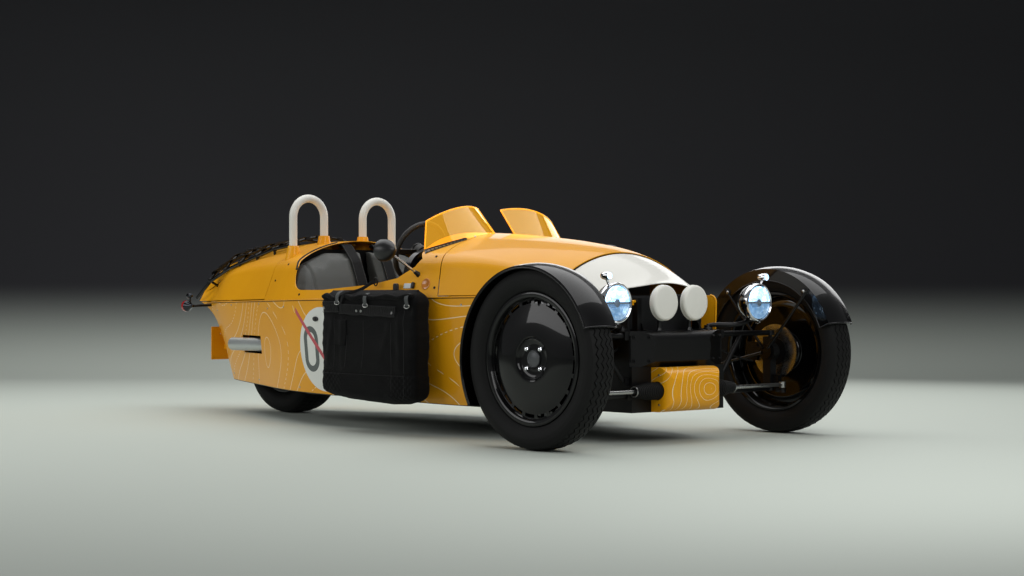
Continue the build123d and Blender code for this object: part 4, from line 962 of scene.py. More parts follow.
def buildHeadlamp(side):
    h, turn = headlampValues, sides[side]
    place = fromAxle(h["place"][0], h["place"][1] * turn, h["place"][2])
    radius, depth = h["radius"], h["depth"]
    forward = (1, 0, 0)
    bowl = Shape()
    profile = [(-depth, 0.0), (-depth + 0.0015, 0.012)]
    for k in range(1, 17):
        share = k / 16
        profile.append((-depth + (depth - 0.024) * share,
            0.012 + (radius - 0.016) * math.sin(share * math.pi / 2) ** 0.9))
    profile += [(-0.022, radius - 0.004), (-0.022, radius - 0.0075), (-0.026, radius - 0.010),
        (-0.060, radius * 0.62), (-0.064, 0.0)]
    bowl.lathe(profile, place, forward, 72)
    settle(bowl.piece("headlampBowl_" + side, lampBowlBlack, 40), "chassis", "black_paint",
        "headlamp_" + side)
    bezel = Shape()
    bezel.ring([(-0.024, radius - 0.005), (-0.023, radius - 0.0005), (-0.014, radius),
        (-0.006, radius - 0.001), (-0.001, radius - 0.004), (0.0, radius - 0.0075),
        (-0.003, radius - 0.0115), (-0.010, radius - 0.0130), (-0.020, radius - 0.0110)], place, forward,
        96)
    bezel.tube([place + Vector((-0.026, 0, -radius - 0.001)), place + Vector((-0.014, 0, -radius - 0.0045)),
        place + Vector((-0.002, 0, -radius + 0.001))], 0.0042, 12)
    settle(bezel.piece("headlampBezel_" + side, chrome, 40), "chassis", "lamp_chrome")
    inner = radius - 0.0125
    # upper reflector in shallow steps, with a strong painted highlight; lower one plain with a fan of ribs
    # and a dimmer painted highlight
    for name, start, end, material in (("Upper", 0.06, math.pi - 0.06, lampHighlight),
            ("Lower", math.pi + 0.06, 2 * math.pi - 0.06, lampDimHighlight)):
        rows = []
        for share, back in ((0.10, -0.040), (0.34, -0.034), (0.36, -0.030), (0.66, -0.022), (0.68, -0.018),
                (0.98, -0.008)):
            rows.append([place + Vector((back, inner * share * math.cos(a), inner * share * math.sin(a)))
                for a in (start + (end - start) * k / 36 for k in range(37))])
        shape = Shape()
        shape.grid(rows)
        half = addPiece("headlampReflector%s_%s" % (name, side), shape.verts, shape.faces, material, 25)
        settle(half, "chassis", "lamp_chrome")
    bar = Shape()
    bar.slab([place + Vector((-0.034, -inner * 0.97, -h["barHalf"])),
        place + Vector((-0.034, inner * 0.97, -h["barHalf"])),
        place + Vector((-0.034, inner * 0.97, h["barHalf"])),
        place + Vector((-0.034, -inner * 0.97, h["barHalf"]))], (0.025, 0, 0))
    bar.lathe([(-0.040, 0.020), (-0.012, 0.0185), (-0.008, 0.0150), (-0.008, 0.0)], place, forward, 32)
    divider = bar.piece("headlampDivider_" + side, lampReflector, 40)
    settle(divider, "chassis", "lamp_chrome")
    lens = Shape()
    dome = [(-0.008 + 0.006 * (1 - (k / 12) ** 2), inner * k / 12) for k in range(12, -1, -1)]
    lens.lathe([(dome[0][0] - 0.003, inner)] + dome, place, forward, 72)
    settle(lens.piece("headlampLens_" + side, lensGlass, 40), "chassis", "lamp_chrome")
    # small side lamp on top and the stem to the casting
    top = place + Vector((-0.024, 0.048 * turn, 0.112))
    small = Shape()
    small.lathe([(-0.028, 0.0), (-0.027, 0.007), (-0.020, 0.013), (-0.006, 0.0165), (0.018, 0.017),
        (0.021, 0.0155)], top, forward, 40)
    small.tube([top + Vector((0, -0.002 * turn, -0.012)), top + Vector((0, -0.010 * turn, -0.026)),
        place + Vector((-0.026, 0.026 * turn, radius - 0.014))], 0.0055, 12)
    settle(small.piece("sideLamp_" + side, chrome, 40), "chassis", "lamp_chrome")
    # the side lamp's tip glows with the same painted highlight
    tip = Shape()
    tip.lathe([(0.019, 0.0150), (0.0225, 0.0135), (0.0250, 0.0090), (0.0260, 0.0)], top, forward, 32)
    settle(tip.piece("sideLampLens_" + side, lampHighlight, 40), "chassis", "lamp_chrome")
    stem = Shape()
    foot = fromAxle(-0.010, 0.273 * turn, 0.490)
    path = smoothPath([place + Vector((-0.056, -0.004 * turn, -0.066)),
        place + Vector((-0.064, -0.030 * turn, -0.088)), place + Vector((-0.085, -0.085 * turn, -0.098)),
        foot + Vector((0.012, 0.030 * turn, 0.006)), foot], 8)
    stem.tube(path, 0.0105, 16)
    stem.lathe([(0.0, 0.024), (0.006, 0.023), (0.008, 0.018), (0.012, 0.0155), (0.020, 0.0145),
        (0.022, 0.0)], foot - Vector((0, 0, 0.015)), (0, 0, 1), 28)
    stem.lathe([(-0.012, 0.020), (0.0, 0.021), (0.008, 0.0165), (0.010, 0.0)],
        place + Vector((-0.056, -0.004 * turn, -0.070)), (0.2, 0, 1), 24)
    settle(stem.piece("headlampStem_" + side, blackSteel, 40), "chassis", "black_steel")


lampBowlBlack = surface("lampBowlBlack", linear(20, 21, 23), 0.12, metallic=0.6, coat=0.6, vary=0.2,
    groupValues={"Scale": 300.0})
for side in sides:
    buildHeadlamp(side)

rallyValues = {"place": (0.075, 0.095, 0.594), "radius": 0.076, "depth": 0.062}


def buildRallyLamps():
    r = rallyValues
    covers, seams, mounts = Shape(), Shape(), Shape()
    for turn in (1, -1):
        place = fromAxle(r["place"][0], r["place"][1] * turn, r["place"][2])
        radius = r["radius"]
        profile = [(-0.020, radius - 0.006), (-0.021, radius - 0.002), (-0.016, radius)]
        for k in range(0, 9):
            a = math.pi / 2 * k / 8
            profile.append((-0.002 + 0.013 * math.sin(a), radius - 0.013 + 0.013 * math.cos(a)))
        profile += [(0.0125, radius - 0.026), (0.0138, radius - 0.045), (0.0140, 0.0)]
        covers.lathe([(-0.020, 0.0)] + profile, place, (1, 0, 0), 80)
        seams.ring([(-0.0172, radius + 0.0002), (-0.0150, radius + 0.0012), (-0.0128, radius + 0.0002),
            (-0.0150, radius - 0.001)], place, (1, 0, 0), 80)
        mounts.lathe([(-r["depth"], 0.0), (-r["depth"] + 0.002, 0.022), (-r["depth"] + 0.012, 0.040),
            (-0.034, 0.062), (-0.022, radius - 0.006), (-0.019, radius - 0.006)], place, (1, 0, 0), 56)
        foot = place + Vector((-0.034, 0, -0.119))
        mounts.tube([foot + Vector((0, 0, 0.004)), foot + Vector((0, 0, 0.060))], 0.0088, 16)
        mounts.lathe([(0.0, 0.0140), (0.005, 0.0138), (0.008, 0.0110), (0.013, 0.0100), (0.014, 0.0)], foot,
            (0, 0, 1), 6)
    settle(covers.piece("rallyCovers", coverCloth, 40), "chassis", "lamp_cover", "rally_lamps")
    settle(seams.piece("rallyCoverBeads", coverCloth, 40), "chassis", "lamp_cover")
    settle(mounts.piece("rallyLampBowls", mouldedBlack, 40), "chassis", "black_plastic")


buildRallyLamps()
print("stage: lamps")

def geometryTree(name, inputs):
    tree = bpy.data.node_groups.new(name, "GeometryNodeTree")
    tree.interface.new_socket("Geometry", in_out="INPUT", socket_type="NodeSocketGeometry")
    for label, kind, default in inputs:
        socket = tree.interface.new_socket(label, in_out="INPUT", socket_type=kind)
        if default is not None:
            socket.default_value = default
    tree.interface.new_socket("Geometry", in_out="OUTPUT", socket_type="NodeSocketGeometry")
    return tree, tree.nodes.new("NodeGroupInput"), tree.nodes.new("NodeGroupOutput")


def finishTree(tree, given, out, geometry):
    real = addNode(tree, "GeometryNodeRealizeInstances", {0: geometry}).outputs[0]
    dressed = addNode(tree, "GeometryNodeSetMaterial",
        {"Geometry": real, "Material": given.outputs["Material"]})
    tree.links.new(dressed.outputs[0], out.inputs[0])


def buildStitchTree():
    tree, given, out = geometryTree("stitchRun", [("Spacing", "NodeSocketFloat", 0.007),
        ("Length", "NodeSocketFloat", 0.0045), ("Thread", "NodeSocketFloat", 0.0006),
        ("Material", "NodeSocketMaterial", None)])
    curve = addNode(tree, "GeometryNodeMeshToCurve", {0: given.outputs[0]}).outputs[0]
    even = addNode(tree, "GeometryNodeResampleCurve", {"Curve": curve, "Length": given.outputs["Spacing"]},
        mode="LENGTH")
    tangent = addNode(tree, "GeometryNodeInputTangent").outputs[0]
    turned = addNode(tree, "FunctionNodeAlignRotationToVector", {"Vector": tangent}, axis="Z").outputs[0]
    stitch = addNode(tree, "GeometryNodeMeshCylinder",
        {"Vertices": 6, "Radius": given.outputs["Thread"], "Depth": given.outputs["Length"]}).outputs[0]
    placed = addNode(tree, "GeometryNodeInstanceOnPoints",
        {"Points": even.outputs[0], "Instance": stitch, "Rotation": turned}).outputs[0]
    finishTree(tree, given, out, placed)
    return tree


def buildScrewTree():
    tree, given, out = geometryTree("screwHeads", [("Radius", "NodeSocketFloat", 0.006),
        ("Height", "NodeSocketFloat", 0.0022), ("Material", "NodeSocketMaterial", None)])
    facing = addNode(tree, "GeometryNodeInputNamedAttribute", {"Name": "facing"},
        data_type="FLOAT_VECTOR").outputs[0]
    turned = addNode(tree, "FunctionNodeAlignRotationToVector", {"Vector": facing}, axis="Z").outputs[0]
    radius, height = given.outputs["Radius"], given.outputs["Height"]
    washer = addNode(tree, "GeometryNodeMeshCylinder",
        {"Vertices": 14, "Radius": radius, "Depth": height}).outputs[0]
    small = mathNode(tree, "MULTIPLY", radius, 0.62)
    tip = mathNode(tree, "MULTIPLY", radius, 0.46)
    dome = addNode(tree, "GeometryNodeMeshCone", {"Vertices": 14, "Radius Top": tip, "Radius Bottom": small,
        "Depth": height}).outputs[0]
    lift = addNode(tree, "ShaderNodeCombineXYZ", {2: mathNode(tree, "MULTIPLY", height, 0.45)}).outputs[0]
    raised = addNode(tree, "GeometryNodeTransform", {"Geometry": dome, "Translation": lift}).outputs[0]
    head = addNode(tree, "GeometryNodeJoinGeometry", {0: washer})
    tree.links.new(raised, head.inputs[0])
    placed = addNode(tree, "GeometryNodeInstanceOnPoints",
        {"Points": given.outputs[0], "Instance": head.outputs[0], "Rotation": turned}).outputs[0]
    finishTree(tree, given, out, placed)
    return tree


stitchTree = buildStitchTree()
screwTree = buildScrewTree()


def grown(name, verts, edges, tree, values, facing=None):
    # Runs a tree on a bare mesh and keeps the result as plain mesh.
    mesh = bpy.data.meshes.new(name)
    mesh.from_pydata([tuple(v) for v in verts], edges, [])
    if facing:
        layer = mesh.attributes.new("facing", "FLOAT_VECTOR", "POINT")
        for k, v in enumerate(facing):
            layer.data[k].vector = v
    piece = bpy.data.objects.new(name, mesh)
    bpy.context.scene.collection.objects.link(piece)
    grow = piece.modifiers.new("grow", "NODES")
    grow.node_group = tree
    for item in tree.interface.items_tree:
        if item.item_type == "SOCKET" and item.in_out == "INPUT" and item.name in values:
            grow[item.identifier] = values[item.name]
    piece.update_tag()
    return applied(piece)


def stitched(name, lines, body, slotName, material, spacing=0.007, thread=0.0007, length=0.0045):
    verts, edges = [], []
    for line in lines:
        start = len(verts)
        verts.extend(line)
        edges.extend((start + k, start + k + 1) for k in range(len(line) - 1))
    piece = grown(name, verts, edges, stitchTree, {"Spacing": spacing, "Length": length, "Thread": thread,
        "Material": material})
    return settle(piece, body, slotName)


def screwed(name, points, body, slotName, material, radius=0.006, height=0.0022):
    # points: (place, facing) pairs
    verts = [p + Vector(n) * height * 0.4 for p, n in points]
    piece = grown(name, verts, [], screwTree, {"Radius": radius, "Height": height, "Material": material},
        [Vector(n) for _, n in points])
    return settle(piece, body, slotName)


seatValues = {"voxel": 0.010, "shrink": 0.006, "cap": 0.024, "pressure": 4.0, "frames": 20,
    "seamDeep": 0.007, "seamHalf": 0.010, "backPanel": (0.135, 0.395), "backSeamZ": 0.60,
    "cushionSeams": (0.150, 0.360), "cushionSeamX": -1.66, "fill": 0.7, "quality": 5, "mass": 0.3,
    "stiffness": 15, "bending": 0.5}
print("stage: simulating seats")


def padFromNode(name, node, cap):
    # A swollen copy of a plain seat block: remeshed, blown up by cloth pressure and capped.
    s = seatValues
    work = bmesh.new()
    work.from_mesh(nodes[node].data)
    bmesh.ops.remove_doubles(work, verts=work.verts, dist=0.00005)
    mesh = bpy.data.meshes.new(name)
    work.to_mesh(mesh)
    work.free()
    pad = bpy.data.objects.new(name, mesh)
    bpy.context.scene.collection.objects.link(pad)
    mesh.materials.clear()
    mesh.materials.append(seatLeather)
    remesh = pad.modifiers.new("remesh", "REMESH")
    remesh.mode, remesh.voxel_size = "VOXEL", s["voxel"]
    applied(pad)
    mesh = pad.data
    normals = [v.normal.copy() for v in mesh.vertices]
    for v, n in zip(mesh.vertices, normals):
        v.co = v.co - n * s["shrink"]
    rest = [v.co.copy() for v in mesh.vertices]
    cloth = pad.modifiers.new("cloth", "CLOTH")
    cloth.settings.quality = s["quality"]
    cloth.settings.mass = s["mass"]
    cloth.settings.tension_stiffness = cloth.settings.compression_stiffness = s["stiffness"]
    cloth.settings.bending_stiffness = s["bending"]
    cloth.settings.use_pressure = True
    cloth.settings.uniform_pressure_force = s["pressure"]
    cloth.settings.effector_weights.gravity = 0
    cloth.collision_settings.use_collision = False
    cloth.point_cache.frame_start, cloth.point_cache.frame_end = 1, s["frames"]
    scene = bpy.context.scene
    for tick in range(1, s["frames"] + 1):
        scene.frame_set(tick)
    graph = bpy.context.evaluated_depsgraph_get()
    swollen = [v.co.copy() for v in pad.evaluated_get(graph).data.vertices]
    pad.modifiers.clear()
    scene.frame_set(1)
    for v, before, after in zip(mesh.vertices, rest, swollen):
        move = after - before
        if move.length > cap:
            move *= cap / move.length
        v.co = before + move
    return pad


def carved(pad, seams):
    # Pulls a soft valley in along each seam: (axis, at, half width, depth, facing test)
    for v in pad.data.vertices:
        pull = 0.0
        for axis, at, half, deep, test in seams:
            away = abs(v.co[axis] - at)
            if away < half and test(v.co):
                pull = max(pull, deep * (1 - (away / half) ** 2) ** 2)
        if pull:
            v.co -= v.normal * pull


def softened(pad, rounds=2, share=0.5):
    work = bmesh.new()
    work.from_mesh(pad.data)
    for _ in range(rounds):
        bmesh.ops.smooth_vert(work, verts=work.verts, factor=share, use_axis_x=True, use_axis_y=True,
            use_axis_z=True)
    bmesh.ops.recalc_face_normals(work, faces=work.faces)
    work.to_mesh(pad.data)
    work.free()


def buildSeat(side):
    s, turn = seatValues, sides[side]
    back = padFromNode("seatBack_" + side, "seat_back_" + side, s["cap"])
    softened(back, 4)
    back.data.update()
    low, high = s["backPanel"]


    def onFront(co):
        return co.x - axleX > -2.14 + (0.868 - co.z) * 0.30 + 0.02

    half, deep = s["seamHalf"], s["seamDeep"]
    carved(back, [(1, turn * low, half, deep, onFront), (1, turn * high, half, deep, onFront),
        (2, s["backSeamZ"], half, deep, lambda co: onFront(co) and low < abs(co.y) < high)])
    subdivided(back, 1)
    back.data.shade_smooth()
    settle(back, "chassis", "leather", "seat_back_" + side)
    cushion = padFromNode("seatCushion_" + side, "seat_cushion_" + side, s["cap"])
    softened(cushion, 4)
    cushion.data.update()
    near, far = s["cushionSeams"]

    def onTop(co):
        return co.z > 0.30

    carved(cushion, [(1, turn * near, half, deep, onTop), (1, turn * far, half, deep, onTop),
        (0, axleX + s["cushionSeamX"], half, deep, lambda co: onTop(co) and near < abs(co.y) < far)])
    subdivided(cushion, 1)
    cushion.data.shade_smooth()
    settle(cushion, "chassis", "leather", "seat_cushion_" + side)
    return back, cushion


def treeOfPiece(piece):
    mesh = piece.data
    return BVHTree.FromPolygons([v.co.copy() for v in mesh.vertices],
        [tuple(p.vertices) for p in mesh.polygons])


def seatLine(tree, starts, direction, lift):
    # Drops a line of starts on to a pad.
    line = []
    for start in starts:
        hit, normal, _, _ = tree.ray_cast(Vector(start), Vector(direction).normalized())
        if hit is not None:
            line.append(hit + normal * lift)
    return line


strapValues = {"half": 0.034, "thick": 0.003, "inner": 0.100, "top": 0.868, "low": 0.42}


def ribbon(shape, line, acrossAt, half, thick, normalAt):
    # A flat strap that follows a line, with the width along acrossAt.
    rows = []
    for k, point in enumerate(line):
        across = Vector(acrossAt).normalized() if not callable(acrossAt) else acrossAt(k)
        normal = normalAt(k)
        rows.append([point - across * half, point - across * (half - 0.0012) + normal * thick,
            point + across * (half - 0.0012) + normal * thick, point + across * half])
    start = shape.grid(rows, closeCols=True)
    shape.cap(start, 4, flip=True)
    shape.cap(start + (len(rows) - 1) * 4, 4)


def buildHarness(side, backTree):
    v, turn = strapValues, sides[side]
    belts, threads = Shape(), []
    steps = 30
    starts = [fromAxle(-1.6, turn * v["inner"], v["top"] - 0.01 - (v["top"] - v["low"]) * k / steps)
        for k in range(steps + 1)]
    line = []
    for start in starts:
        hit, normal, _, _ = backTree.ray_cast(start, Vector((-1, 0, 0)))
        if hit is not None:
            line.append((hit, normal))
    points = smoothPath([p + n * 0.004 for p, n in line], 2)
    forward = Vector((0.93, 0, 0.36)).normalized()
    over = [fromAxle(-2.152, turn * v["inner"], 0.872), fromAxle(-2.128, turn * v["inner"], 0.885)]
    full = smoothPath(over + points[::4] + [points[-1]], 5)
    ribbon(belts, full, (0, 1, 0), v["half"], v["thick"], lambda k: forward)
    for edge in (-1, 1):
        threads.append([p + Vector((0, edge * (v["half"] - 0.005), 0)) + forward * (v["thick"] + 0.0004)
            for p in full])
    settle(belts.piece("harnessStrap_" + side, webbing, 50), "chassis", "leather")
    stitched("harnessStitch_" + side, threads, "chassis", "leather", threadGrey, 0.008, 0.0007)
    buckle = Shape()
    at = full[len(full) * 2 // 3]
    outline = [(-0.040, -0.022), (0.040, -0.022), (0.044, -0.018), (0.044, 0.018), (0.040, 0.022),
        (-0.040, 0.022), (-0.044, 0.018), (-0.044, -0.018)]
    up = Vector((-0.36, 0, 0.93))
    buckle.slab([at + Vector((0, y, 0)) + up * z + forward * 0.002 for y, z in outline], forward * 0.007)
    bevelled(settle(buckle.piece("harnessSlide_" + side, brightSteel, 40), "chassis", "bright_steel"),
        0.0015)


threadGrey = surface("threadGrey", linear(120, 120, 116), 0.7, vary=0.2, groupValues={"Scale": 900.0})
for side, turn in sides.items():
    back, cushion = buildSeat(side)
    backTree, cushionTree = treeOfPiece(back), treeOfPiece(cushion)
    buildHarness(side, backTree)
    lines = []
    for y in seatValues["backPanel"]:
        for off in (-0.006, 0.006):
            lines.append(seatLine(backTree, [fromAxle(-1.6, turn * (y + off), 0.82 - 0.42 * k / 40)
                for k in range(41)], (-1, 0, 0), 0.0004))
    for y in seatValues["cushionSeams"]:
        for off in (-0.006, 0.006):
            lines.append(seatLine(cushionTree, [fromAxle(-1.88 + 0.38 * k / 36, turn * (y + off), 0.6)
                for k in range(37)], (0, 0, -1), 0.0004))
    stitched("seatStitch_" + side, [line for line in lines if len(line) > 3], "chassis", "leather",
        threadGrey)
print("stage: seats")

bagValues = {"front": -0.862, "rear": -1.548, "inner": 0.5890, "outer": 0.7050, "low": 0.137, "high": 0.640,
    "quiltTop": 0.262, "quiltPitch": 0.030, "quiltDeep": 0.0035, "levels": 110, "around": 300,
    "bulge": 0.014, "fill": 0.5}


def bagLoop(v, z):
    # One closed ring of the bag's skin at a height, as points with outward directions.
    share = (z - v["low"]) / (v["high"] - v["low"])
    midX, halfX = axleX + (v["front"] + v["rear"]) / 2, (v["front"] - v["rear"]) / 2
    midY, halfY = (v["inner"] + v["outer"]) / 2, (v["outer"] - v["inner"]) / 2
    ends = min(share, 1 - share)
    tuck = 0.0 if ends > 0.10 else (1 - ends / 0.10)
    shrinkX, shrinkY = 0.030 * tuck ** 2.2, 0.036 * tuck ** 2.6
    points = []
    for k in range(v["around"]):
        a = 2 * math.pi * k / v["around"]
        c, s = math.cos(a), math.sin(a)
        x = math.copysign(abs(c) ** 0.30, c)
        y = math.copysign(abs(s) ** 0.34, s)
        out = Vector((c ** 3, s ** 3 * (halfX / halfY) * 0.5, 0))
        out.normalize()
        place = Vector((midX + (halfX - shrinkX) * x, midY + (halfY - shrinkY) * y, z))
        points.append((place, out))
    return points


def bagSkin(place, out, v, turn):
    # Sag, folds and quilting, all worked out from where the point lies.
    share = (place.z - v["low"]) / (v["high"] - v["low"])
    x = place.x - axleX
    along = (x - v["rear"]) / (v["front"] - v["rear"])
    outside = max(out.y, 0.0)
    ends = abs(out.x)
    middle = max(0.0, 1 - abs(2 * along - 1) ** 2.4)
    belly = v["bulge"] * middle * math.sin(math.pi * min(max((0.62 - share) / 0.62, 0), 1)) * outside
    pinch = -0.010 * math.exp(-((share - 0.83) / 0.05) ** 2) * outside
    folds = 0.0
    for at, lean, wide, deep in ((0.12, 0.10, 0.030, 0.0060), (0.27, -0.06, 0.022, 0.0050),
            (0.42, 0.04, 0.020, 0.0040), (0.58, 0.16, 0.034, 0.0065), (0.70, 0.22, 0.026, 0.0050),
            (0.86, -0.08, 0.026, 0.0050)):
        centre = at + lean * (share - 0.5)
        rise = math.sin(math.pi * min(max((share - 0.25) / 0.6, 0), 1))
        folds += deep * math.exp(-((along - centre) / wide) ** 2) * rise
    ripple = 0.0016 * math.sin(38 * along + 9 * share) * math.sin(21 * share + 5 * along)
    ripple += 0.0022 * math.sin(13 * place.z / 0.1 + 7 * along) * ends
    quilt = 0.0
    if place.z < v["quiltTop"] + 0.004:
        p = v["quiltPitch"]
        one = abs(((x + place.z) / p) % 1 - 0.5) * 2
        two = abs(((x - place.z) / p) % 1 - 0.5) * 2
        quilt = v["quiltDeep"] * (min(1 - one, 1 - two) * 2) ** 0.5 - v["quiltDeep"]
        quilt *= outside
    seam = -0.0035 * math.exp(-((place.z - v["quiltTop"]) / 0.004) ** 2)
    hang = 0.012 * middle * (1 - share) ** 2 - 0.016 * (along - 0.35) * (1 - share) ** 3
    moved = place + out * (belly + pinch + (folds + ripple) * (outside + 0.5 * ends) + quilt + seam)
    if share < 0.10:
        moved.z = v["low"] + (moved.z - v["low"]) * 0.9
    moved.z += max(-0.012, -hang * 0.6)
    moved.z += (0.040 * max(1 - along, 0) ** 1.6 + 0.016 * max(along, 0) ** 6) * max(1 - share, 0) ** 2.2
    moved.x += ends * math.copysign(1, out.x) * (-0.007 * math.exp(-((share - 0.76) / 0.10) ** 2)
        - 0.009 * math.exp(-((share - 0.34) / 0.09) ** 2))
    moved.z = max(moved.z, v["low"] - 0.008)
    if moved.y < v["inner"]:
        moved.y = v["inner"] + (v["inner"] - moved.y) * 0.1
    return Vector((moved.x, moved.y * turn, moved.z))


def buildBag(side):
    v, turn = bagValues, sides[side]
    shape = Shape()
    rows = []
    for level in range(v["levels"] + 1):
        t = level / v["levels"]
        z = v["low"] + (v["high"] - v["low"]) * (0.5 - 0.5 * math.cos(math.pi * t))
        rows.append([bagSkin(p, n, v, turn) for p, n in bagLoop(v, z)])
    start = shape.grid(rows, closeCols=True)
    # closed top and bottom: rings drawn in to a line along the middle
    for row, lift in ((0, -0.004), (v["levels"], 0.010)):
        ring = rows[row]
        count = len(ring)
        middleY = sum(p.y for p in ring) / count
        last = start + row * count
        for step in (0.72, 0.42, 0.14):
            inner = [Vector((p.x * 0.985 + (axleX - 1.205) * 0.015, middleY + (p.y - middleY) * step,
                p.z + lift * (1 - step) + 0.002 * math.sin(60 * p.x))) for p in ring]
            first = len(shape.verts)
            shape.verts.extend(inner)
            for k in range(count):
                j = (k + 1) % count
                shape.faces.append((last + k, last + j, first + j, first + k))
            last = first
        shape.faces.append(tuple(range(last, last + count)))
    bag = shape.piece("bagBody_" + side, canvasBlack, 60)
    settle(bag, "chassis", "bag_fabric", "pannier_" + side)
    tree = treeOfPiece(bag)

    def onBag(x, z, lift=0.0):
        hit, normal, _, _ = tree.ray_cast(fromAxle(x, turn * 0.95, z), Vector((0, -turn, 0)))
        return (hit + normal * lift, normal) if hit is not None else (fromAxle(x, turn * v["outer"], z),
            Vector((0, turn, 0)))

    def panel(x0, x1, z0, z1, lift, wave=0.0, cols=40, rowsCount=10, drop=0.0):
        # A sewn-on sheet that follows the skin.
        sheet = Shape()
        front, behind = [], []
        for r in range(rowsCount + 1):
            one, two = [], []
            for c in range(cols + 1):
                sx, sz = c / cols, r / rowsCount
                x = x0 + (x1 - x0) * sx
                z = z0 + (z1 - z0) * sz + drop * sx + wave * math.sin(6 * sx * math.pi + 2 * sz) * (1 - sz)
                edge = min(min(sx, 1 - sx) * (x1 - x0) / 0.004, min(sz, 1 - sz) * (z1 - z0) / 0.004, 1.0)
                p, n = onBag(x, z)
                swell = abs(wave) * 0.25 * math.sin(9 * sx * math.pi) ** 2
                one.append(p + n * (lift * edge + 0.0006 + swell))
                two.append(p - n * 0.002)
            front.append(one)
            behind.append(two)
        sheet.grid(front)
        sheet.grid(behind[::-1])
        return sheet

    flaps = Shape()
    for args in ((-1.528, -1.400, 0.548, 0.600, 0.0065, 0.0, 34, 10, 0.0),
            (-1.400, -0.985, 0.538, 0.590, 0.0080, 0.002, 90, 10, -0.012)):
        one = panel(*args)
        base = len(flaps.verts)
        flaps.verts.extend(one.verts)
        flaps.faces.extend(tuple(base + i for i in face) for face in one.faces)
    settle(flaps.piece("bagBand_" + side, webbing, 50), "chassis", "bag_fabric")
    # stacked padding stitches across the band
    lines = []
    for k in range(44):
        x = -1.52 + 0.0122 * k
        if -1.41 < x < -1.392:
            continue
        drop = 0 if x < -1.4 else -0.012 * (x + 1.400) / 0.415
        lean = 0.006 if (k // 6) % 2 else -0.004
        lines.append([onBag(x + lean * t, 0.546 + drop + 0.040 * t, 0.0095)[0]
            for t in (0, 0.25, 0.5, 0.75, 1.0)])
    stitched("bagBandStitch_" + side, lines, "chassis", "bag_fabric", threadDark, 0.0055, 0.0011, 0.0040)
    edges = []
    for x0, x1, z, drop in ((-1.526, -1.402, 0.551, 0.0), (-1.526, -1.402, 0.597, 0.0),
            (-1.398, -0.987, 0.541, -0.012), (-1.398, -0.987, 0.587, -0.012)):
        edges.append([onBag(x0 + (x1 - x0) * k / 60, z + drop * k / 60, 0.0084)[0] for k in range(61)])
    seams = [(-1.425, 0.30, 0.52), (-1.335, 0.30, 0.52), (-1.210, 0.30, 0.51), (-1.010, 0.20, 0.50),
        (-0.930, 0.18, 0.58)]
    for x, z0, z1 in seams:
        edges.append([onBag(x + 0.006 * math.sin(5 * k / 30), z0 + (z1 - z0) * k / 30, 0.0010)[0]
            for k in range(31)])
    edges.append([onBag(-1.53 + 0.60 * k / 80, 0.268, 0.0010)[0] for k in range(81)])
    stitched("bagStitch_" + side, edges, "chassis", "bag_fabric", threadDark, 0.0065, 0.0008)
    # pocket with a turned edge and a tab
    pocket = panel(-1.425, -1.335, 0.395, 0.515, 0.0045, 0.0, 26, 30)
    settle(pocket.piece("bagPocket_" + side, canvasBlack, 50), "chassis", "bag_fabric")
    tabs = Shape()
    for x, z in ((-1.400, 0.592), (-1.190, 0.582), (-0.905, 0.580)):
        line, normals = [], []
        for k in range(13):
            p, n = onBag(x + 0.004 * math.sin(k * 0.5), z + 0.046 * (k / 12),
                0.0095 + 0.007 * math.sin(math.pi * k / 12))
            line.append(p)
            normals.append(n)
        ribbon(tabs, line, (1, 0, 0), 0.0125, 0.0022, lambda k: normals[k])
    settle(tabs.piece("bagTabs_" + side, webbingGrey, 50), "chassis", "bag_fabric")
    rings = Shape()
    for x, z in ((-1.400, 0.594), (-1.190, 0.584), (-0.905, 0.582)):
        p, n = onBag(x, z, 0.012)
        loop = [p + Vector((0.017 * math.cos(a), 0, 0.010 * math.sin(a))) + n * 0.002 * math.sin(2 * a)
            for a in (2 * math.pi * k / 28 for k in range(28))]
        rings.tube(loop, 0.0020, 8, closed=True)
    settle(rings.piece("bagRings_" + side, brightSteel, 50), "chassis", "bright_steel")
    snaps = [onBag(x, z, 0.0085) for x, z in ((-1.512, 0.572), (-1.265, 0.556), (-1.232, 0.555),
        (-1.012, 0.545))]
    screwed("bagSnaps_" + side, snaps, "chassis", "bright_steel", brightSteel, 0.0062, 0.0030)
    # rolled top with a soft lip
    roll = Shape()
    top = []
    for k in range(61):
        x = v["rear"] + 0.020 + (v["front"] - v["rear"] - 0.040) * k / 60
        p, n = onBag(x, 0.606 + 0.005 * math.sin(9 * k / 60 * math.pi), 0.0)
        top.append(p + n * 0.001 + Vector((0, 0, 0.012 + 0.003 * math.sin(k * 0.55))))
    roll.tube(smoothPath(top[::3], 6), lambda t: 0.012 + 0.0035 * math.sin(t * 23) * math.sin(t * 7), 14,
        flat=0.8)
    settle(roll.piece("bagRoll_" + side, canvasBlack, 60), "chassis", "bag_fabric")
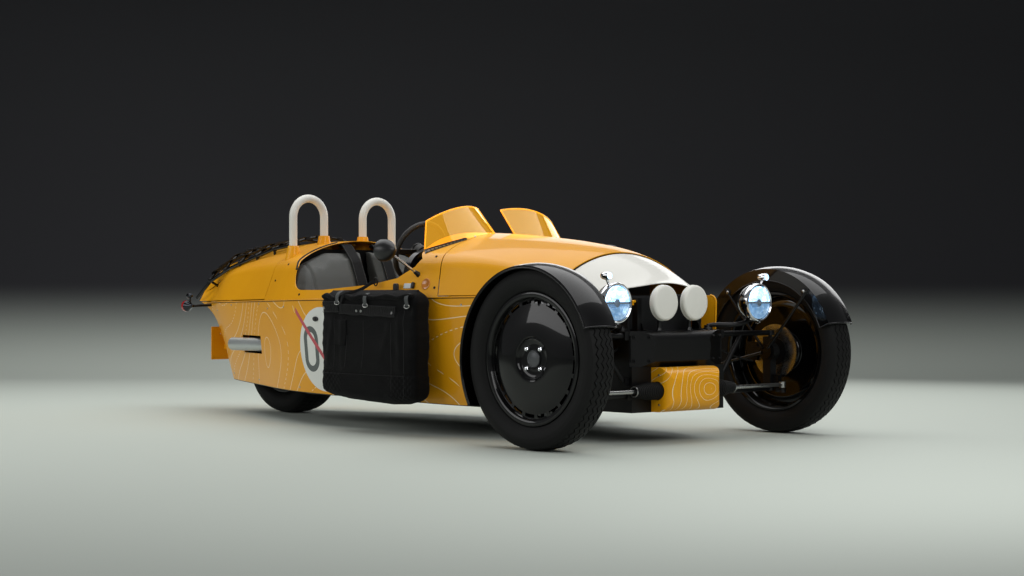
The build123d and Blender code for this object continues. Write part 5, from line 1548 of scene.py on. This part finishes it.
    # carrying strap up to the body's edge, with its ring
    strap = Shape()
    foot = onBag(-1.372, 0.590, 0.012)[0]
    hook = fromAxle(-1.262, turn * 0.594, 0.688)
    path = smoothPath([foot, foot + Vector((0.030, 0, 0.040)),
        Vector((foot.x + 0.068, turn * 0.652, 0.652)), Vector((hook.x - 0.018, turn * 0.612, 0.680)), hook],
        7)
    ribbon(strap, path, Vector((0.55, 0, -0.83)), 0.0085, 0.0020,
        lambda k: Vector((0, turn, 0.2)).normalized())
    settle(strap.piece("bagStrap_" + side, webbing, 50), "chassis", "bag_fabric")
    eye = Shape()
    eye.tube([hook + Vector((0.013 * math.cos(a), 0.002 * turn, 0.018 * math.sin(a)))
        for a in (2 * math.pi * k / 26 for k in range(26))], 0.0032, 8, closed=True)
    settle(eye.piece("bagEye_" + side, softRubber, 50), "chassis", "black_plastic")
    clip = Shape()
    outline = [(-0.013, 0.0), (0.013, 0.0), (0.013, 0.034), (0.008, 0.040), (-0.008, 0.040),
        (-0.013, 0.034)]
    clip.slab([fromAxle(-1.118 + x, turn * 0.586, 0.640 + z) for x, z in outline], (0, turn * 0.016, 0))
    bevelled(settle(clip.piece("bagClip_" + side, mouldedBlack, 40), "chassis", "black_plastic"), 0.002)


threadDark = surface("threadDark", linear(52, 52, 52), 0.75, vary=0.2, groupValues={"Scale": 900.0})
webbingGrey = surface("webbingGrey", linear(62, 66, 66), 0.7, group=weaveGroup, bump=0.8, vary=0.3,
    groupValues={"Threads": 420.0}, sheen=0.15)
for side in sides:
    buildBag(side)
print("stage: bags")
hoopValues = {"x": -2.276, "y": 0.2235, "half": 0.0975, "outerFoot": 0.833, "innerFoot": 0.888}
bootProfile = [(-0.060, 0.050), (-0.020, 0.0415), (-0.004, 0.0372), (0.008, 0.0342), (0.026, 0.0304),
    (0.038, 0.0281), (0.0425, 0.0272), (0.0440, 0.0262), (0.0440, 0.0220)]


def buildHoopBoots(side):
    v, turn = hoopValues, sides[side]
    boots = Shape()
    for y, foot in ((v["y"] + v["half"], v["outerFoot"]), (v["y"] - v["half"], v["innerFoot"])):
        boots.lathe(bootProfile, fromAxle(v["x"], turn * y, foot), (0, 0, 1), 40)
    settle(boots.piece("hoopBoots_" + side, amberPaint, 50), "chassis", "amber_paint")


mirrorValues = {"place": (-1.019, 0.720, 0.827), "foot": (-1.008, 0.540, 0.712), "stalk": 0.0060}
mirrorHead = [(-0.0440, 0.0), (-0.0440, 0.0430), (-0.0462, 0.0438), (-0.0462, 0.0462), (-0.0435, 0.0486),
    (-0.0390, 0.0499), (-0.0330, 0.0502), (-0.0200, 0.0494), (-0.0060, 0.0470), (0.0060, 0.0418),
    (0.0160, 0.0354), (0.0260, 0.0284), (0.0350, 0.0192), (0.0410, 0.0108), (0.0442, 0.0040), (0.0448, 0.0)]


def buildMirror(side):
    v, turn = mirrorValues, sides[side]
    x, y, z = v["place"]
    centre = fromAxle(x, turn * y, z)
    head = Shape().lathe(mirrorHead, centre, (1, 0, 0), 56)
    settle(head.piece("mirrorHead_" + side, mouldedBlack, 40), "chassis", "black_plastic", "mirror_" + side)
    glass = Shape().lathe([(-0.0464, 0.0), (-0.0462, 0.020), (-0.0456, 0.0425), (-0.0438, 0.0429)], centre,
        (1, 0, 0), 48)
    settle(glass.piece("mirrorGlass_" + side, mirrorGlass, 40), "chassis", "lamp_chrome")
    fx, fy, fz = v["foot"]
    foot = fromAxle(fx, turn * fy, fz)
    start = fromAxle(x - 0.006, turn * (y - 0.020), z - 0.014)
    stalk = Shape().tube([start, start.lerp(foot, 0.5), foot], v["stalk"], 16)
    run = (foot - start).normalized()
    stalk.lathe([(-0.004, 0.0), (-0.004, 0.0085), (0.0, 0.0095), (0.012, 0.0095), (0.016, 0.0075)],
        start - run * 0.004, run, 20)
    settle(stalk.piece("mirrorStalk_" + side, chrome, 40), "chassis", "lamp_chrome")
    base = Shape().lathe([(-0.040, 0.0), (-0.040, 0.0080), (-0.034, 0.0095), (-0.024, 0.0105),
        (-0.014, 0.0132), (-0.004, 0.0138), (0.010, 0.0138)], foot, run, 28)
    settle(base.piece("mirrorBase_" + side, mouldedBlack, 40), "chassis", "black_plastic")


tailLampValues = {"place": (-3.400, 0.230, 0.567), "small": (0.040, 0.056)}


def buildTailLamp(side):
    v, turn = tailLampValues, sides[side]
    x, y, z = v["place"]
    centre = fromAxle(x, turn * y, z)
    shell = Shape().lathe([(0.0130, 0.0), (0.0110, 0.0270), (0.0120, 0.0300), (0.0150, 0.0300),
        (0.0180, 0.0276), (0.0260, 0.0236), (0.0380, 0.0170), (0.0480, 0.0124), (0.0600, 0.0088),
        (0.0660, 0.0072), (0.0665, 0.0)], centre, (1, 0, 0), 44)
    dx, dz = v["small"]
    high = centre + Vector((dx, 0, dz))
    shell.lathe([(-0.022, 0.0), (-0.022, 0.0128), (-0.019, 0.0142), (0.004, 0.0138), (0.011, 0.0100),
        (0.0142, 0.0040), (0.0145, 0.0)], high, (1, 0, 0), 32)
    settle(shell.piece("tailLampShell_" + side, darkChrome, 40), "chassis", "lamp_red", "tail_lamp_" + side)
    lens = Shape().lathe([(-0.0162, 0.0), (-0.0160, 0.0080), (-0.0150, 0.0160), (-0.0128, 0.0225),
        (-0.0096, 0.0272), (-0.0050, 0.0302), (0.0, 0.0312), (0.0122, 0.0304)], centre, (1, 0, 0), 44)
    lens.lathe([(-0.0268, 0.0), (-0.0260, 0.0060), (-0.0235, 0.0104), (-0.0210, 0.0124)], high, (1, 0, 0),
        28)
    settle(lens.piece("tailLampLens_" + side, redLens, 40), "chassis", "lamp_red")
    bead = Shape()
    for ring in range(1, 4):
        radius = 0.0075 * ring
        bead.ring([(-0.0172 + 0.0016 * ring, radius - 0.0007), (-0.0182 + 0.0017 * ring, radius),
            (-0.0168 + 0.0016 * ring, radius + 0.0007)], centre, (1, 0, 0), 40)
    settle(bead.piece("tailLampRings_" + side, redLens, 40), "chassis", "lamp_red")
    arm = Shape()
    near = fromAxle(x + dx, turn * y, z)
    arm.tube([near, fromAxle(x + 0.055, turn * 0.155, z + 0.003),
        fromAxle(x + 0.070, turn * 0.080, z + 0.006)], 0.0078, 16)
    arm.tube([near, near + Vector((0, 0, dz))], 0.0048, 12)
    arm.lathe([(-0.012, 0.0100), (-0.008, 0.0118), (0.008, 0.0118), (0.012, 0.0100)], near, (0, 1, 0), 20)
    settle(arm.piece("tailLampArm_" + side, blackSteel, 40), "chassis", "black_steel")


screenValues = {"base": ((-1.020, 0.062, 0.898), (-0.992, 0.275, 0.874), (-1.062, 0.474, 0.792)),
    "top": ((-1.145, 0.072, 1.033), (-1.095, 0.255, 1.030), (-1.130, 0.405, 0.968)), "edge": 0.0030,
    "bead": 0.0055, "trayFrom": 0.54, "trayWide": 0.040}


def arcThrough(a, b, c, count):
    # The circle through three points, walked from the first to the last.
    a, b, c = Vector(a), Vector(b), Vector(c)
    ab, ac = b - a, c - a
    flat = ab.cross(ac)
    offset = flat.cross(ab) * ac.length_squared + ac.cross(flat) * ab.length_squared
    centre = a + offset / (2 * flat.length_squared)
    one, axis = a - centre, flat.normalized()
    end = c - centre
    angle = math.atan2(one.cross(end).dot(axis), one.dot(end)) % (2 * math.pi)
    return [centre + one * math.cos(angle * k / count) + axis.cross(one) * math.sin(angle * k / count)
        for k in range(count + 1)]


def buildScreenTrim(side):
    v, turn = screenValues, sides[side]
    low = [fromAxle(p.x, turn * p.y, p.z) for p in arcThrough(*v["base"], 48)]
    high = [fromAxle(p.x, turn * p.y, p.z) for p in arcThrough(*v["top"], 48)]
    edge = Shape()
    ends = [[low[k].lerp(high[k], t / 12) for t in range(13)] for k in (0, -1)]
    for line in (high, ends[0], ends[1]):
        edge.tube(line, v["edge"], 10)
    settle(edge.piece("screenEdge_" + side, amberEdge, 50), "chassis", "amber_screen")
    bead = Shape()
    bead.tube([p + Vector((0.0035, 0, -0.001)) for p in low], v["bead"], 12, flat=0.8)
    bead.tube([p + Vector((-0.0065, 0, 0.001)) for p in low], v["bead"] * 0.8, 12, flat=0.8)
    settle(bead.piece("screenBead_" + side, softRubber, 50), "chassis", "black_plastic")
    screws = []
    for k in (6, 18, 30, 42):
        up = (high[k] - low[k]).normalized()
        run = (low[min(k + 1, 48)] - low[k - 1]).normalized()
        out = run.cross(up) * turn
        if out.x < 0:
            out = -out
        screws.append((low[k] + up * 0.012 + out * 0.0030, out))
    screwed("screenScrews_" + side, screws, "chassis", "bright_steel", brightSteel, 0.0052, 0.0024)
    tray, ribs = Shape(), Shape()
    first = int(48 * v["trayFrom"])
    rows = []
    for k in range(first, 49):
        share = (k - first) / (48 - first)
        run = (low[min(k + 1, 48)] - low[k - 1]).normalized()
        out = Vector((run.y, -run.x, 0)) * -turn
        if out.x < 0:
            out = -out
        row = []
        for reach in (0.004, 0.006, 0.006 + v["trayWide"] * (0.35 + 0.65 * share) - 0.002,
                0.006 + v["trayWide"] * (0.35 + 0.65 * share)):
            place = low[k] + out.normalized() * reach
            hit = None
            for name in ("cockpit_surround", "bonnet"):
                hit = cast(name, place + Vector((0, 0, 0.25)), Vector((0, 0, -1)))[0]
                if hit is not None:
                    break
            row.append((hit if hit is not None else place) + Vector((0, 0, 0.0005)))
        row[1] += Vector((0, 0, 0.0055))
        row[2] += Vector((0, 0, 0.0040))
        rows.append(row)
    tray.grid(rows)
    for k in range(0, len(rows) - 1, 2):
        ribs.tube([rows[k][1] + Vector((0, 0, 0.0015)),
            rows[k][1].lerp(rows[k][2], 0.5) + Vector((0, 0, 0.0018)), rows[k][2] + Vector((0, 0, 0.0010))],
            0.0020, 8)
    ribs.tube([row[1] + Vector((0, 0, 0.0012)) for row in rows], 0.0024, 8)
    settle(ribs.piece("screenTrayRibs_" + side, softRubber, 40), "chassis", "black_plastic")
    settle(tray.piece("screenTray_" + side, mouldedBlack, 40), "chassis", "black_plastic")


cockpitEdge = [(-2.122, 0.893), (-2.090, 0.835), (-2.010, 0.770), (-1.995, 0.652), (-1.700, 0.652),
    (-1.330, 0.676), (-1.150, 0.704), (-1.042, 0.755), (-1.016, 0.790)]
cornerRadius = 0.110


def roundedCorner(before, corner, after, radius, steps=12):
    one, two = (before - corner).normalized(), (after - corner).normalized()
    half = one.angle(two) / 2
    reach = radius / math.tan(half)
    centre = corner + (one + two).normalized() * radius / math.sin(half)
    start, end = corner + one * reach, corner + two * reach
    first, last = start - centre, end - centre
    arc = [centre + first.slerp(last, k / steps) for k in range(1, steps)]
    return [start] + arc + [end]


def onSkin(nodeNames, x, z, turn, lift=0.0):
    # The body's outer surface at a place seen from the side.
    for name in nodeNames:
        hit, normal = cast(name, fromAxle(x, turn * 0.95, z), Vector((0, -turn, 0)))[:2]
        if hit is not None and abs(hit.y) > 0.02:
            if normal.y * turn < 0:
                normal = -normal
            return hit + normal * lift, normal
    return None, None


def buildEdges(side):
    turn = sides[side]
    outline = [Vector((x, z, 0)) for x, z in cockpitEdge]
    corner = roundedCorner(outline[2], outline[3], outline[4], cornerRadius)
    dense = smoothPath(outline[:3], 6)[:-1] + corner + smoothPath([corner[-1]] + outline[4:], 8)[1:]
    line = []
    for k, p in enumerate(dense):
        run = dense[min(k + 1, len(dense) - 1)] - dense[max(k - 1, 0)]
        out = Vector((run.y, -run.x, 0)).normalized() * 0.0045
        q = p + out
        hit, normal = onSkin(["cockpit_surround"], q.x, q.y, turn, 0.0006)
        if hit is not None and (not line or (hit - line[-1]).length < 0.09):
            line.append(hit)
    trim = Shape().tube(line, 0.0056, 12, flat=0.9)
    settle(trim.piece("cockpitTrim_" + side, softRubber, 60), "chassis", "black_plastic")
    # a bead along the belt, with a thin black line just below it as painted shade in the seam under the
    # belt
    bead, shade = [], []
    for k in range(101):
        x = -0.29 - 3.10 * k / 100
        z = 0.630 + 0.0118 * x
        hit, normal = onSkin(["side_panel_" + side], x, z - 0.006, turn, 0.0006)
        if hit is not None:
            bead.append(hit + Vector((0, 0, 0.0035)))
            shade.append(hit - Vector((0, 0, 0.0015)))
    if len(bead) > 2:
        settle(Shape().tube(bead, 0.0026, 10).piece("beltBead_" + side, amberPaint, 60), "chassis",
            "amber_paint")
        settle(Shape().tube(shade, 0.0013, 8).piece("beltSeamShade_" + side, softRubber, 60), "chassis",
            "black_plastic")
    dots = []
    for x, z in ((-3.14, 0.545), (-2.86, 0.575), (-2.44, 0.582), (-2.06, 0.570), (-0.72, 0.585),
            (-0.42, 0.585), (-3.02, 0.205), (-2.55, 0.190), (-1.95, 0.178), (-0.66, 0.160), (-2.30, 0.560),
            (-0.56, 0.575)):
        hit, normal = onSkin(["side_panel_" + side], x, z, turn)
        if hit is not None:
            dots.append((hit, normal))
    screwed("panelScrews_" + side, dots, "chassis", "black_steel", brightSteel, 0.0046, 0.0018)
    dots = []
    for x, z in ((-2.265, 0.700), (-2.16, 0.780), (-1.90, 0.630), (-0.885, 0.660), (-0.935, 0.800)):
        hit, normal = onSkin(["cockpit_surround", "bonnet"], x, z, turn)
        if hit is not None:
            dots.append((hit, normal))
    screwed("surroundScrews_" + side, dots, "chassis", "black_steel", blackSteel, 0.0060, 0.0022)


def tangentFrame(normal):
    across = Vector((0, 0, 1)).cross(normal).normalized()
    return across, normal.cross(across)


def buildFittings(side):
    turn = sides[side]
    at, normal = onSkin(["cockpit_surround"], -1.064, 0.668, turn)
    across, up = tangentFrame(normal)
    plaque = Shape().slab([at + across * a + up * b for a,
        b in ((-0.024, -0.012), (0.024, -0.012), (0.026, -0.010), (0.026, 0.010), (0.024, 0.012),
        (-0.024, 0.012), (-0.026, 0.010), (-0.026, -0.010))], normal * 0.003)
    bevelled(settle(plaque.piece("sidePlaque_" + side, paleSteel, 40), "chassis", "bright_steel"), 0.0008)
    clip = Shape().slab([at + across * (a - 0.040 * turn) + up * b for a,
        b in ((-0.007, -0.013), (0.007, -0.013), (0.008, 0.010), (0.004, 0.016), (-0.004, 0.016),
        (-0.008, 0.010))], normal * 0.012)
    bevelled(settle(clip.piece("sideClip_" + side, mouldedBlack, 40), "chassis", "black_plastic"), 0.0015)
    at, normal = onSkin(["cockpit_surround"], -0.945, 0.677, turn)
    if at is not None:
        spot = Shape().lathe([(0.0, 0.0), (0.0, 0.0260), (0.0020, 0.0262), (0.0034, 0.0250),
            (0.0038, 0.0225), (0.0030, 0.0215), (0.0030, 0.0)], at - normal * 0.0008, normal, 44)
        settle(spot.piece("sideCap_" + side, amberDeepPaint, 40), "chassis", "amber_paint")
    at, normal = onSkin(["side_panel_" + side], -1.754, 0.513, turn)
    across, up = tangentFrame(normal)
    oval = [at + across * 0.022 * math.cos(a) + up * 0.012 * math.sin(a)
        for a in (2 * math.pi * k / 28 for k in range(28))]
    stud = Shape().slab(oval, normal * 0.006)
    stud.lathe([(0.004, 0.0), (0.004, 0.0070), (0.0085, 0.0066), (0.0100, 0.0040), (0.0100, 0.0)], at,
        normal, 20)
    bevelled(settle(stud.piece("sideStud_" + side, mouldedBlack, 40), "chassis", "black_plastic"), 0.0015)


carrierValues = {"bars": (-2.450, -2.600, -2.780, -2.960, -3.120, -3.290), "front": (-2.430, 0.222),
    "rear": (-3.445, 0.128), "places": (-0.80, -0.48, -0.16, 0.16, 0.48, 0.80), "half": 0.0150,
    "thick": 0.0028, "sag": 0.004}


def carrierWidth(x):
    (x0, y0), (x1, y1) = carrierValues["front"], carrierValues["rear"]
    return y0 + (y1 - y0) * (x0 - x) / (x0 - x1)


def buildCarrierStraps():
    v = carrierValues
    straps, buckles = Shape(), Shape()
    for place in v["places"]:
        line = []
        for x in v["bars"]:
            hit = cast("luggage_rack", fromAxle(x, place * carrierWidth(x), 1.2), Vector((0, 0, -1)))[0]
            if hit is None:
                continue
            if line:
                line.append(line[-1].lerp(hit + Vector((0, 0, 0.002)), 0.5) - Vector((0, 0, v["sag"])))
            line.append(hit + Vector((0, 0, 0.002)))
        if len(line) < 4:
            continue
        wrap = [line[0] + Vector((0.012, 0, -0.016)), line[0] + Vector((0.010, 0, -0.004))]
        tail = [line[-1] + Vector((-0.011, 0, -0.006)), line[-1] + Vector((-0.010, 0, -0.018))]
        path = smoothPath(wrap + line + tail, 5)
        ribbon(straps, path, (0, 1, 0), v["half"], v["thick"], lambda k: Vector((0, 0, 1)))
        at = path[len(path) * 3 // 5]
        run = (path[len(path) * 3 // 5 + 1] - at).normalized()
        up = run.cross(Vector((0, 1, 0)))
        if up.z < 0:
            up = -up
        loop = [at + run * a + Vector((0, b, 0)) + up * 0.0055 for a,
            b in ((-0.014, -0.018), (0.014, -0.018), (0.014, 0.018), (-0.014, 0.018))]
        buckles.tube(smoothPath(loop, 5, closed=True), 0.0022, 8, closed=True)
        buckles.tube([at - run * 0.014 + up * 0.0055, at + run * 0.012 + up * 0.0060], 0.0018, 8)
    settle(straps.piece("carrierStraps", webbing, 50), "tail_lid", "leather")
    settle(buckles.piece("carrierBuckles", blackSteel, 50), "tail_lid", "black_steel")
    clamps = Shape()
    for x in v["bars"]:
        for turn in (1, -1):
            hit = cast("luggage_rack", fromAxle(x, turn * carrierWidth(x), 1.2), Vector((0, 0, -1)))[0]
            if hit is not None:
                clamps.lathe([(-0.012, 0.0), (-0.012, 0.0110), (-0.009, 0.0125), (0.009, 0.0125),
                    (0.012, 0.0110), (0.012, 0.0)], hit - Vector((0, 0, 0.009)), (1, 0, 0.1), 20)
    settle(clamps.piece("carrierClamps", blackSteel, 50), "tail_lid", "black_steel")


steeringValues = {"centre": (-1.325, -0.280, 0.832), "tilt": 22, "radius": 0.140, "rim": 0.013}


def buildSteeringDress():
    v = steeringValues
    tilt = math.radians(v["tilt"])
    axis = Vector((-math.cos(tilt), 0, math.sin(tilt)))
    centre = fromAxle(*v["centre"])
    side = Vector((0, 1, 0))
    up = axis.cross(side).normalized()
    cap = Shape().lathe([(0.020, 0.0), (0.020, 0.034), (0.0245, 0.0348), (0.0275, 0.0325), (0.0290, 0.0260),
        (0.0300, 0.0)], centre, axis, 40)
    settle(cap.piece("steeringCap", mouldedBlack, 40), "steering_wheel", "black_plastic")
    ring = [centre + (side * math.cos(a) + up * math.sin(a)) * (v["radius"] - v["rim"] * 0.72)
        + axis * 0.0096 for a in (2 * math.pi * k / 160 for k in range(161))]
    stitched("steeringStitch", [ring], "steering_wheel", "leather", threadGrey, 0.0065, 0.0007)
    bolts = [(centre + (side * math.cos(a) + up * math.sin(a)) * 0.027 + axis * 0.0290, axis)
        for a in (2 * math.pi * k / 6 for k in range(6))]
    screwed("steeringBolts", bolts, "steering_wheel", "bright_steel", brightSteel, 0.0028, 0.0018)
    gauges, faces, needles, marks = Shape(), Shape(), Shape(), Shape()
    for y, z, r in ((-0.280, 0.800, 0.036), (0.0, 0.795, 0.042), (0.115, 0.795, 0.026),
            (-0.115, 0.795, 0.026)):
        hit = cast("dashboard", fromAxle(-1.4, y, z), Vector((1, 0, 0)))[0]
        if hit is None:
            continue
        back = Vector((-1, 0, 0))
        gauges.ring([(0.0, r), (0.0, r + 0.005), (0.006, r + 0.0055), (0.010, r + 0.003), (0.010, r),
            (0.006, r - 0.001)], hit, back, 44)
        faces.lathe([(0.0, 0.0), (0.0, r), (0.004, r), (0.004, 0.0)], hit, back, 40)
        for k in range(11):
            a = math.radians(-40 + 26 * k)
            tick = hit + back * 0.0043 + Vector((0, math.cos(a), math.sin(a))) * r * 0.84
            marks.tube([tick, tick + Vector((0, math.cos(a), math.sin(a))) * r * 0.10], 0.0008, 6)
        needles.tube([hit + back * 0.0052, hit + back * 0.0052 + Vector((0, -0.60, 0.52)) * r], 0.0010, 6)
    settle(gauges.piece("gaugeRims", chrome, 40), "chassis", "bright_steel")
    settle(faces.piece("gaugeFaces", mouldedBlack, 40), "chassis", "black_plastic")
    settle(marks.piece("gaugeMarks", coverCloth, 40), "chassis", "bright_steel")
    settle(needles.piece("gaugeNeedles", redLens, 40), "chassis", "lamp_red")


# the screen edges glow: a painted highlight along the edges of the tinted screens
amberEdge = clearMaterial("amberEdge", linear(255, 196, 60), 0.10, paintedGlow=linear(240, 176, 50), strength=0.40)
amberDeepPaint = surface("amberDeepPaint", linear(196, 116, 6), 0.34, coat=0.8, vary=0.05,
    groupValues={"Scale": 60.0})
for side in sides:
    buildHoopBoots(side)
    buildMirror(side)
    buildTailLamp(side)
    buildScreenTrim(side)
    buildEdges(side)
    buildFittings(side)
buildCarrierStraps()
buildSteeringDress()
print("stage: body dressing")
frontValues = {"slotShadeSpan": (0.2060, 0.2400, 0.010), "cheekRear": -0.150, "cheekFront": -0.036,
    "cheekLow": 0.345, "cheekHigh": 0.626, "cheekY": 0.362, "rackX": 0.100, "rackZ": 0.224,
    "gaiterFrom": 0.176, "gaiterTo": 0.306}


def buildSlotShadeRing(side):
    # A black ring with a small lip behind the ring of slots: a dark sheet of painted shade that keeps the
    # slots dark.
    turn, centre = sides[side], frontWheelAt[side]
    inner, outer, along = frontValues["slotShadeSpan"]
    ring = Shape().ring([(along - 0.002, inner), (along - 0.002, outer), (along, outer + 0.004),
        (along + 0.002, outer), (along + 0.002, inner)], centre, (0, turn, 0), 96)
    settle(ring.piece("slotShadeRing_" + side, lampBowlBlack, 35), "front_%s_wheel" % side, "black_paint")


def buildCheek(side):
    # The side panel's front edge beside the radiator, with a rounded upper corner.
    v, turn = frontValues, sides[side]
    outline = [(v["cheekRear"], v["cheekLow"]), (v["cheekFront"], v["cheekLow"])]
    corner = 0.034
    for k in range(9):
        a = math.pi / 2 * k / 8
        outline.append((v["cheekFront"] - corner * (1 - math.cos(a)),
            v["cheekHigh"] - corner * (1 - math.sin(a))))
    outline.append((v["cheekRear"], v["cheekHigh"]))
    points = [fromAxle(x, turn * (v["cheekY"] - 0.045 * (v["cheekHigh"] - z)), z) for x, z in outline]
    cheek = Shape().slab(points, (0, -turn * 0.004, 0))
    bevelled(settle(cheek.piece("noseCheek_" + side, amberPaint, 40), "chassis", "amber_paint"), 0.0012)
    rim = Shape().tube([p + Vector((0, -turn * 0.002, 0)) for p in points[1:-1]], 0.0042, 10)
    settle(rim.piece("noseCheekRim_" + side, amberPaint, 50), "chassis", "amber_paint")


def buildBellowsTree():
    tree, given, out = geometryTree("bellowsRibs",
        [("Count", "NodeSocketInt", 10), ("Start Radius", "NodeSocketFloat", 0.03),
        ("End Radius", "NodeSocketFloat", 0.02), ("Rib", "NodeSocketFloat", 0.004),
        ("Material", "NodeSocketMaterial", None)])
    curve = addNode(tree, "GeometryNodeMeshToCurve", {0: given.outputs[0]}).outputs[0]
    even = addNode(tree, "GeometryNodeResampleCurve", {"Curve": curve, "Count": given.outputs["Count"]},
        mode="COUNT")
    tangent = addNode(tree, "GeometryNodeInputTangent").outputs[0]
    share = addNode(tree, "GeometryNodeSplineParameter").outputs["Factor"]
    size = addNode(tree, "ShaderNodeMapRange", {"Value": share, "To Min": given.outputs["Start Radius"],
        "To Max": given.outputs["End Radius"]}).outputs[0]
    turned = addNode(tree, "FunctionNodeAlignRotationToVector", {"Vector": tangent}, axis="Z").outputs[0]
    circle = addNode(tree, "GeometryNodeCurvePrimitiveCircle", {"Resolution": 36, "Radius": 1.0}).outputs[0]
    placed = addNode(tree, "GeometryNodeInstanceOnPoints",
        {"Points": even.outputs[0], "Instance": circle, "Rotation": turned, "Scale": size}).outputs[0]
    real = addNode(tree, "GeometryNodeRealizeInstances", {0: placed}).outputs[0]
    section = addNode(tree, "GeometryNodeCurvePrimitiveCircle",
        {"Resolution": 10, "Radius": given.outputs["Rib"]}).outputs[0]
    ribs = addNode(tree, "GeometryNodeCurveToMesh", {"Curve": real, "Profile Curve": section}).outputs[0]
    finishTree(tree, given, out, ribs)
    return tree


bellowsTree = buildBellowsTree()


def buildGaiter(side):
    v, turn = frontValues, sides[side]
    half = (v["gaiterFrom"], 0.232, v["gaiterTo"])
    for k, (y0, y1, r0, r1, count) in enumerate(((half[0], half[1], 0.0335, 0.0335, 6),
            (half[1] + 0.009, half[2], 0.0315, 0.0205, 8))):
        line = [fromAxle(v["rackX"], turn * y0, v["rackZ"]), fromAxle(v["rackX"], turn * y1, v["rackZ"])]
        piece = grown("gaiterRibs%d_%s" % (k, side), line, [(0, 1)], bellowsTree,
            {"Count": count, "Start Radius": r0, "End Radius": r1, "Rib": 0.0038, "Material": softRubber})
        settle(piece, "chassis", "black_plastic")
    band = Shape().ring([(-0.004, 0.0195), (-0.004, 0.0225), (0.004, 0.0225), (0.004, 0.0195)],
        fromAxle(v["rackX"], turn * 0.3095, v["rackZ"]), (0, 1, 0), 36)
    settle(band.piece("gaiterBand_" + side, brightSteel, 40), "chassis", "bright_steel")


def buildCastingDress():
    # Cast ribs and flanges over the upper front casting, with its bolts.
    body = Shape()
    for turn in (1, -1):
        body.tube(smoothPath([fromAxle(0.050, turn * 0.176, 0.338), fromAxle(0.072, turn * 0.176, 0.352),
            fromAxle(0.088, turn * 0.174, 0.400), fromAxle(0.076, turn * 0.174, 0.456),
            fromAxle(0.030, turn * 0.175, 0.4765), fromAxle(-0.120, turn * 0.175, 0.4765)], 6), 0.0055, 10,
            flat=0.8)
        body.tube([fromAxle(0.0545, turn * 0.285, 0.345), fromAxle(0.0545, turn * 0.285, 0.455)], 0.0045, 8)
        flange = [(-0.020, 0.470), (-0.014, 0.504), (0.004, 0.512), (0.022, 0.506), (0.030, 0.476)]
        body.slab([fromAxle(x, turn * 0.1765, z) for x, z in flange], (0, turn * 0.005, 0))
    settle(body.piece("castingRibs", castBlack, 40), "chassis", "dark_casting")
    bolts = []
    for turn in (1, -1):
        for y, z in ((0.200, 0.350), (0.268, 0.350), (0.200, 0.450), (0.268, 0.450)):
            hit, normal = cast("front_casting", fromAxle(0.4, turn * y, z), Vector((-1, 0, 0)))
            if hit is not None:
                bolts.append((hit, normal))
        for x in (-0.02, -0.07, -0.12):
            hit, normal = cast("front_casting", fromAxle(x, turn * 0.236, 0.8), Vector((0, 0, -1)))
            if hit is not None:
                bolts.append((hit, normal))
    screwed("castingBolts", bolts, "chassis", "black_steel", blackSteel, 0.0085, 0.0050)
    dots = []
    for turn in (1, -1):
        for z in (0.165, 0.290):
            hit, normal = cast("lower_nose", fromAxle(0.112, turn * 0.6, z), Vector((0, -turn, 0)))
            if hit is not None:
                dots.append((hit, normal))
    screwed("noseScrews", dots, "chassis", "bright_steel", brightSteel, 0.0055, 0.0022)
    hoses = Shape()
    for turn in (1, -1):
        hoses.tube(smoothPath([fromAxle(-0.060, turn * 0.225, 0.470), fromAxle(-0.040, turn * 0.250, 0.420),
            fromAxle(0.004, turn * 0.345, 0.385), fromAxle(-0.012, turn * 0.470, 0.350),
            fromAxle(-0.012, turn * 0.580, 0.330)], 8), 0.0042, 8)
    settle(hoses.piece("brakeHoses", softRubber, 50), "chassis", "black_plastic")


for side in sides:
    buildSlotShadeRing(side)
    buildCheek(side)
    buildGaiter(side)
buildCastingDress()
print("stage: front dressing")
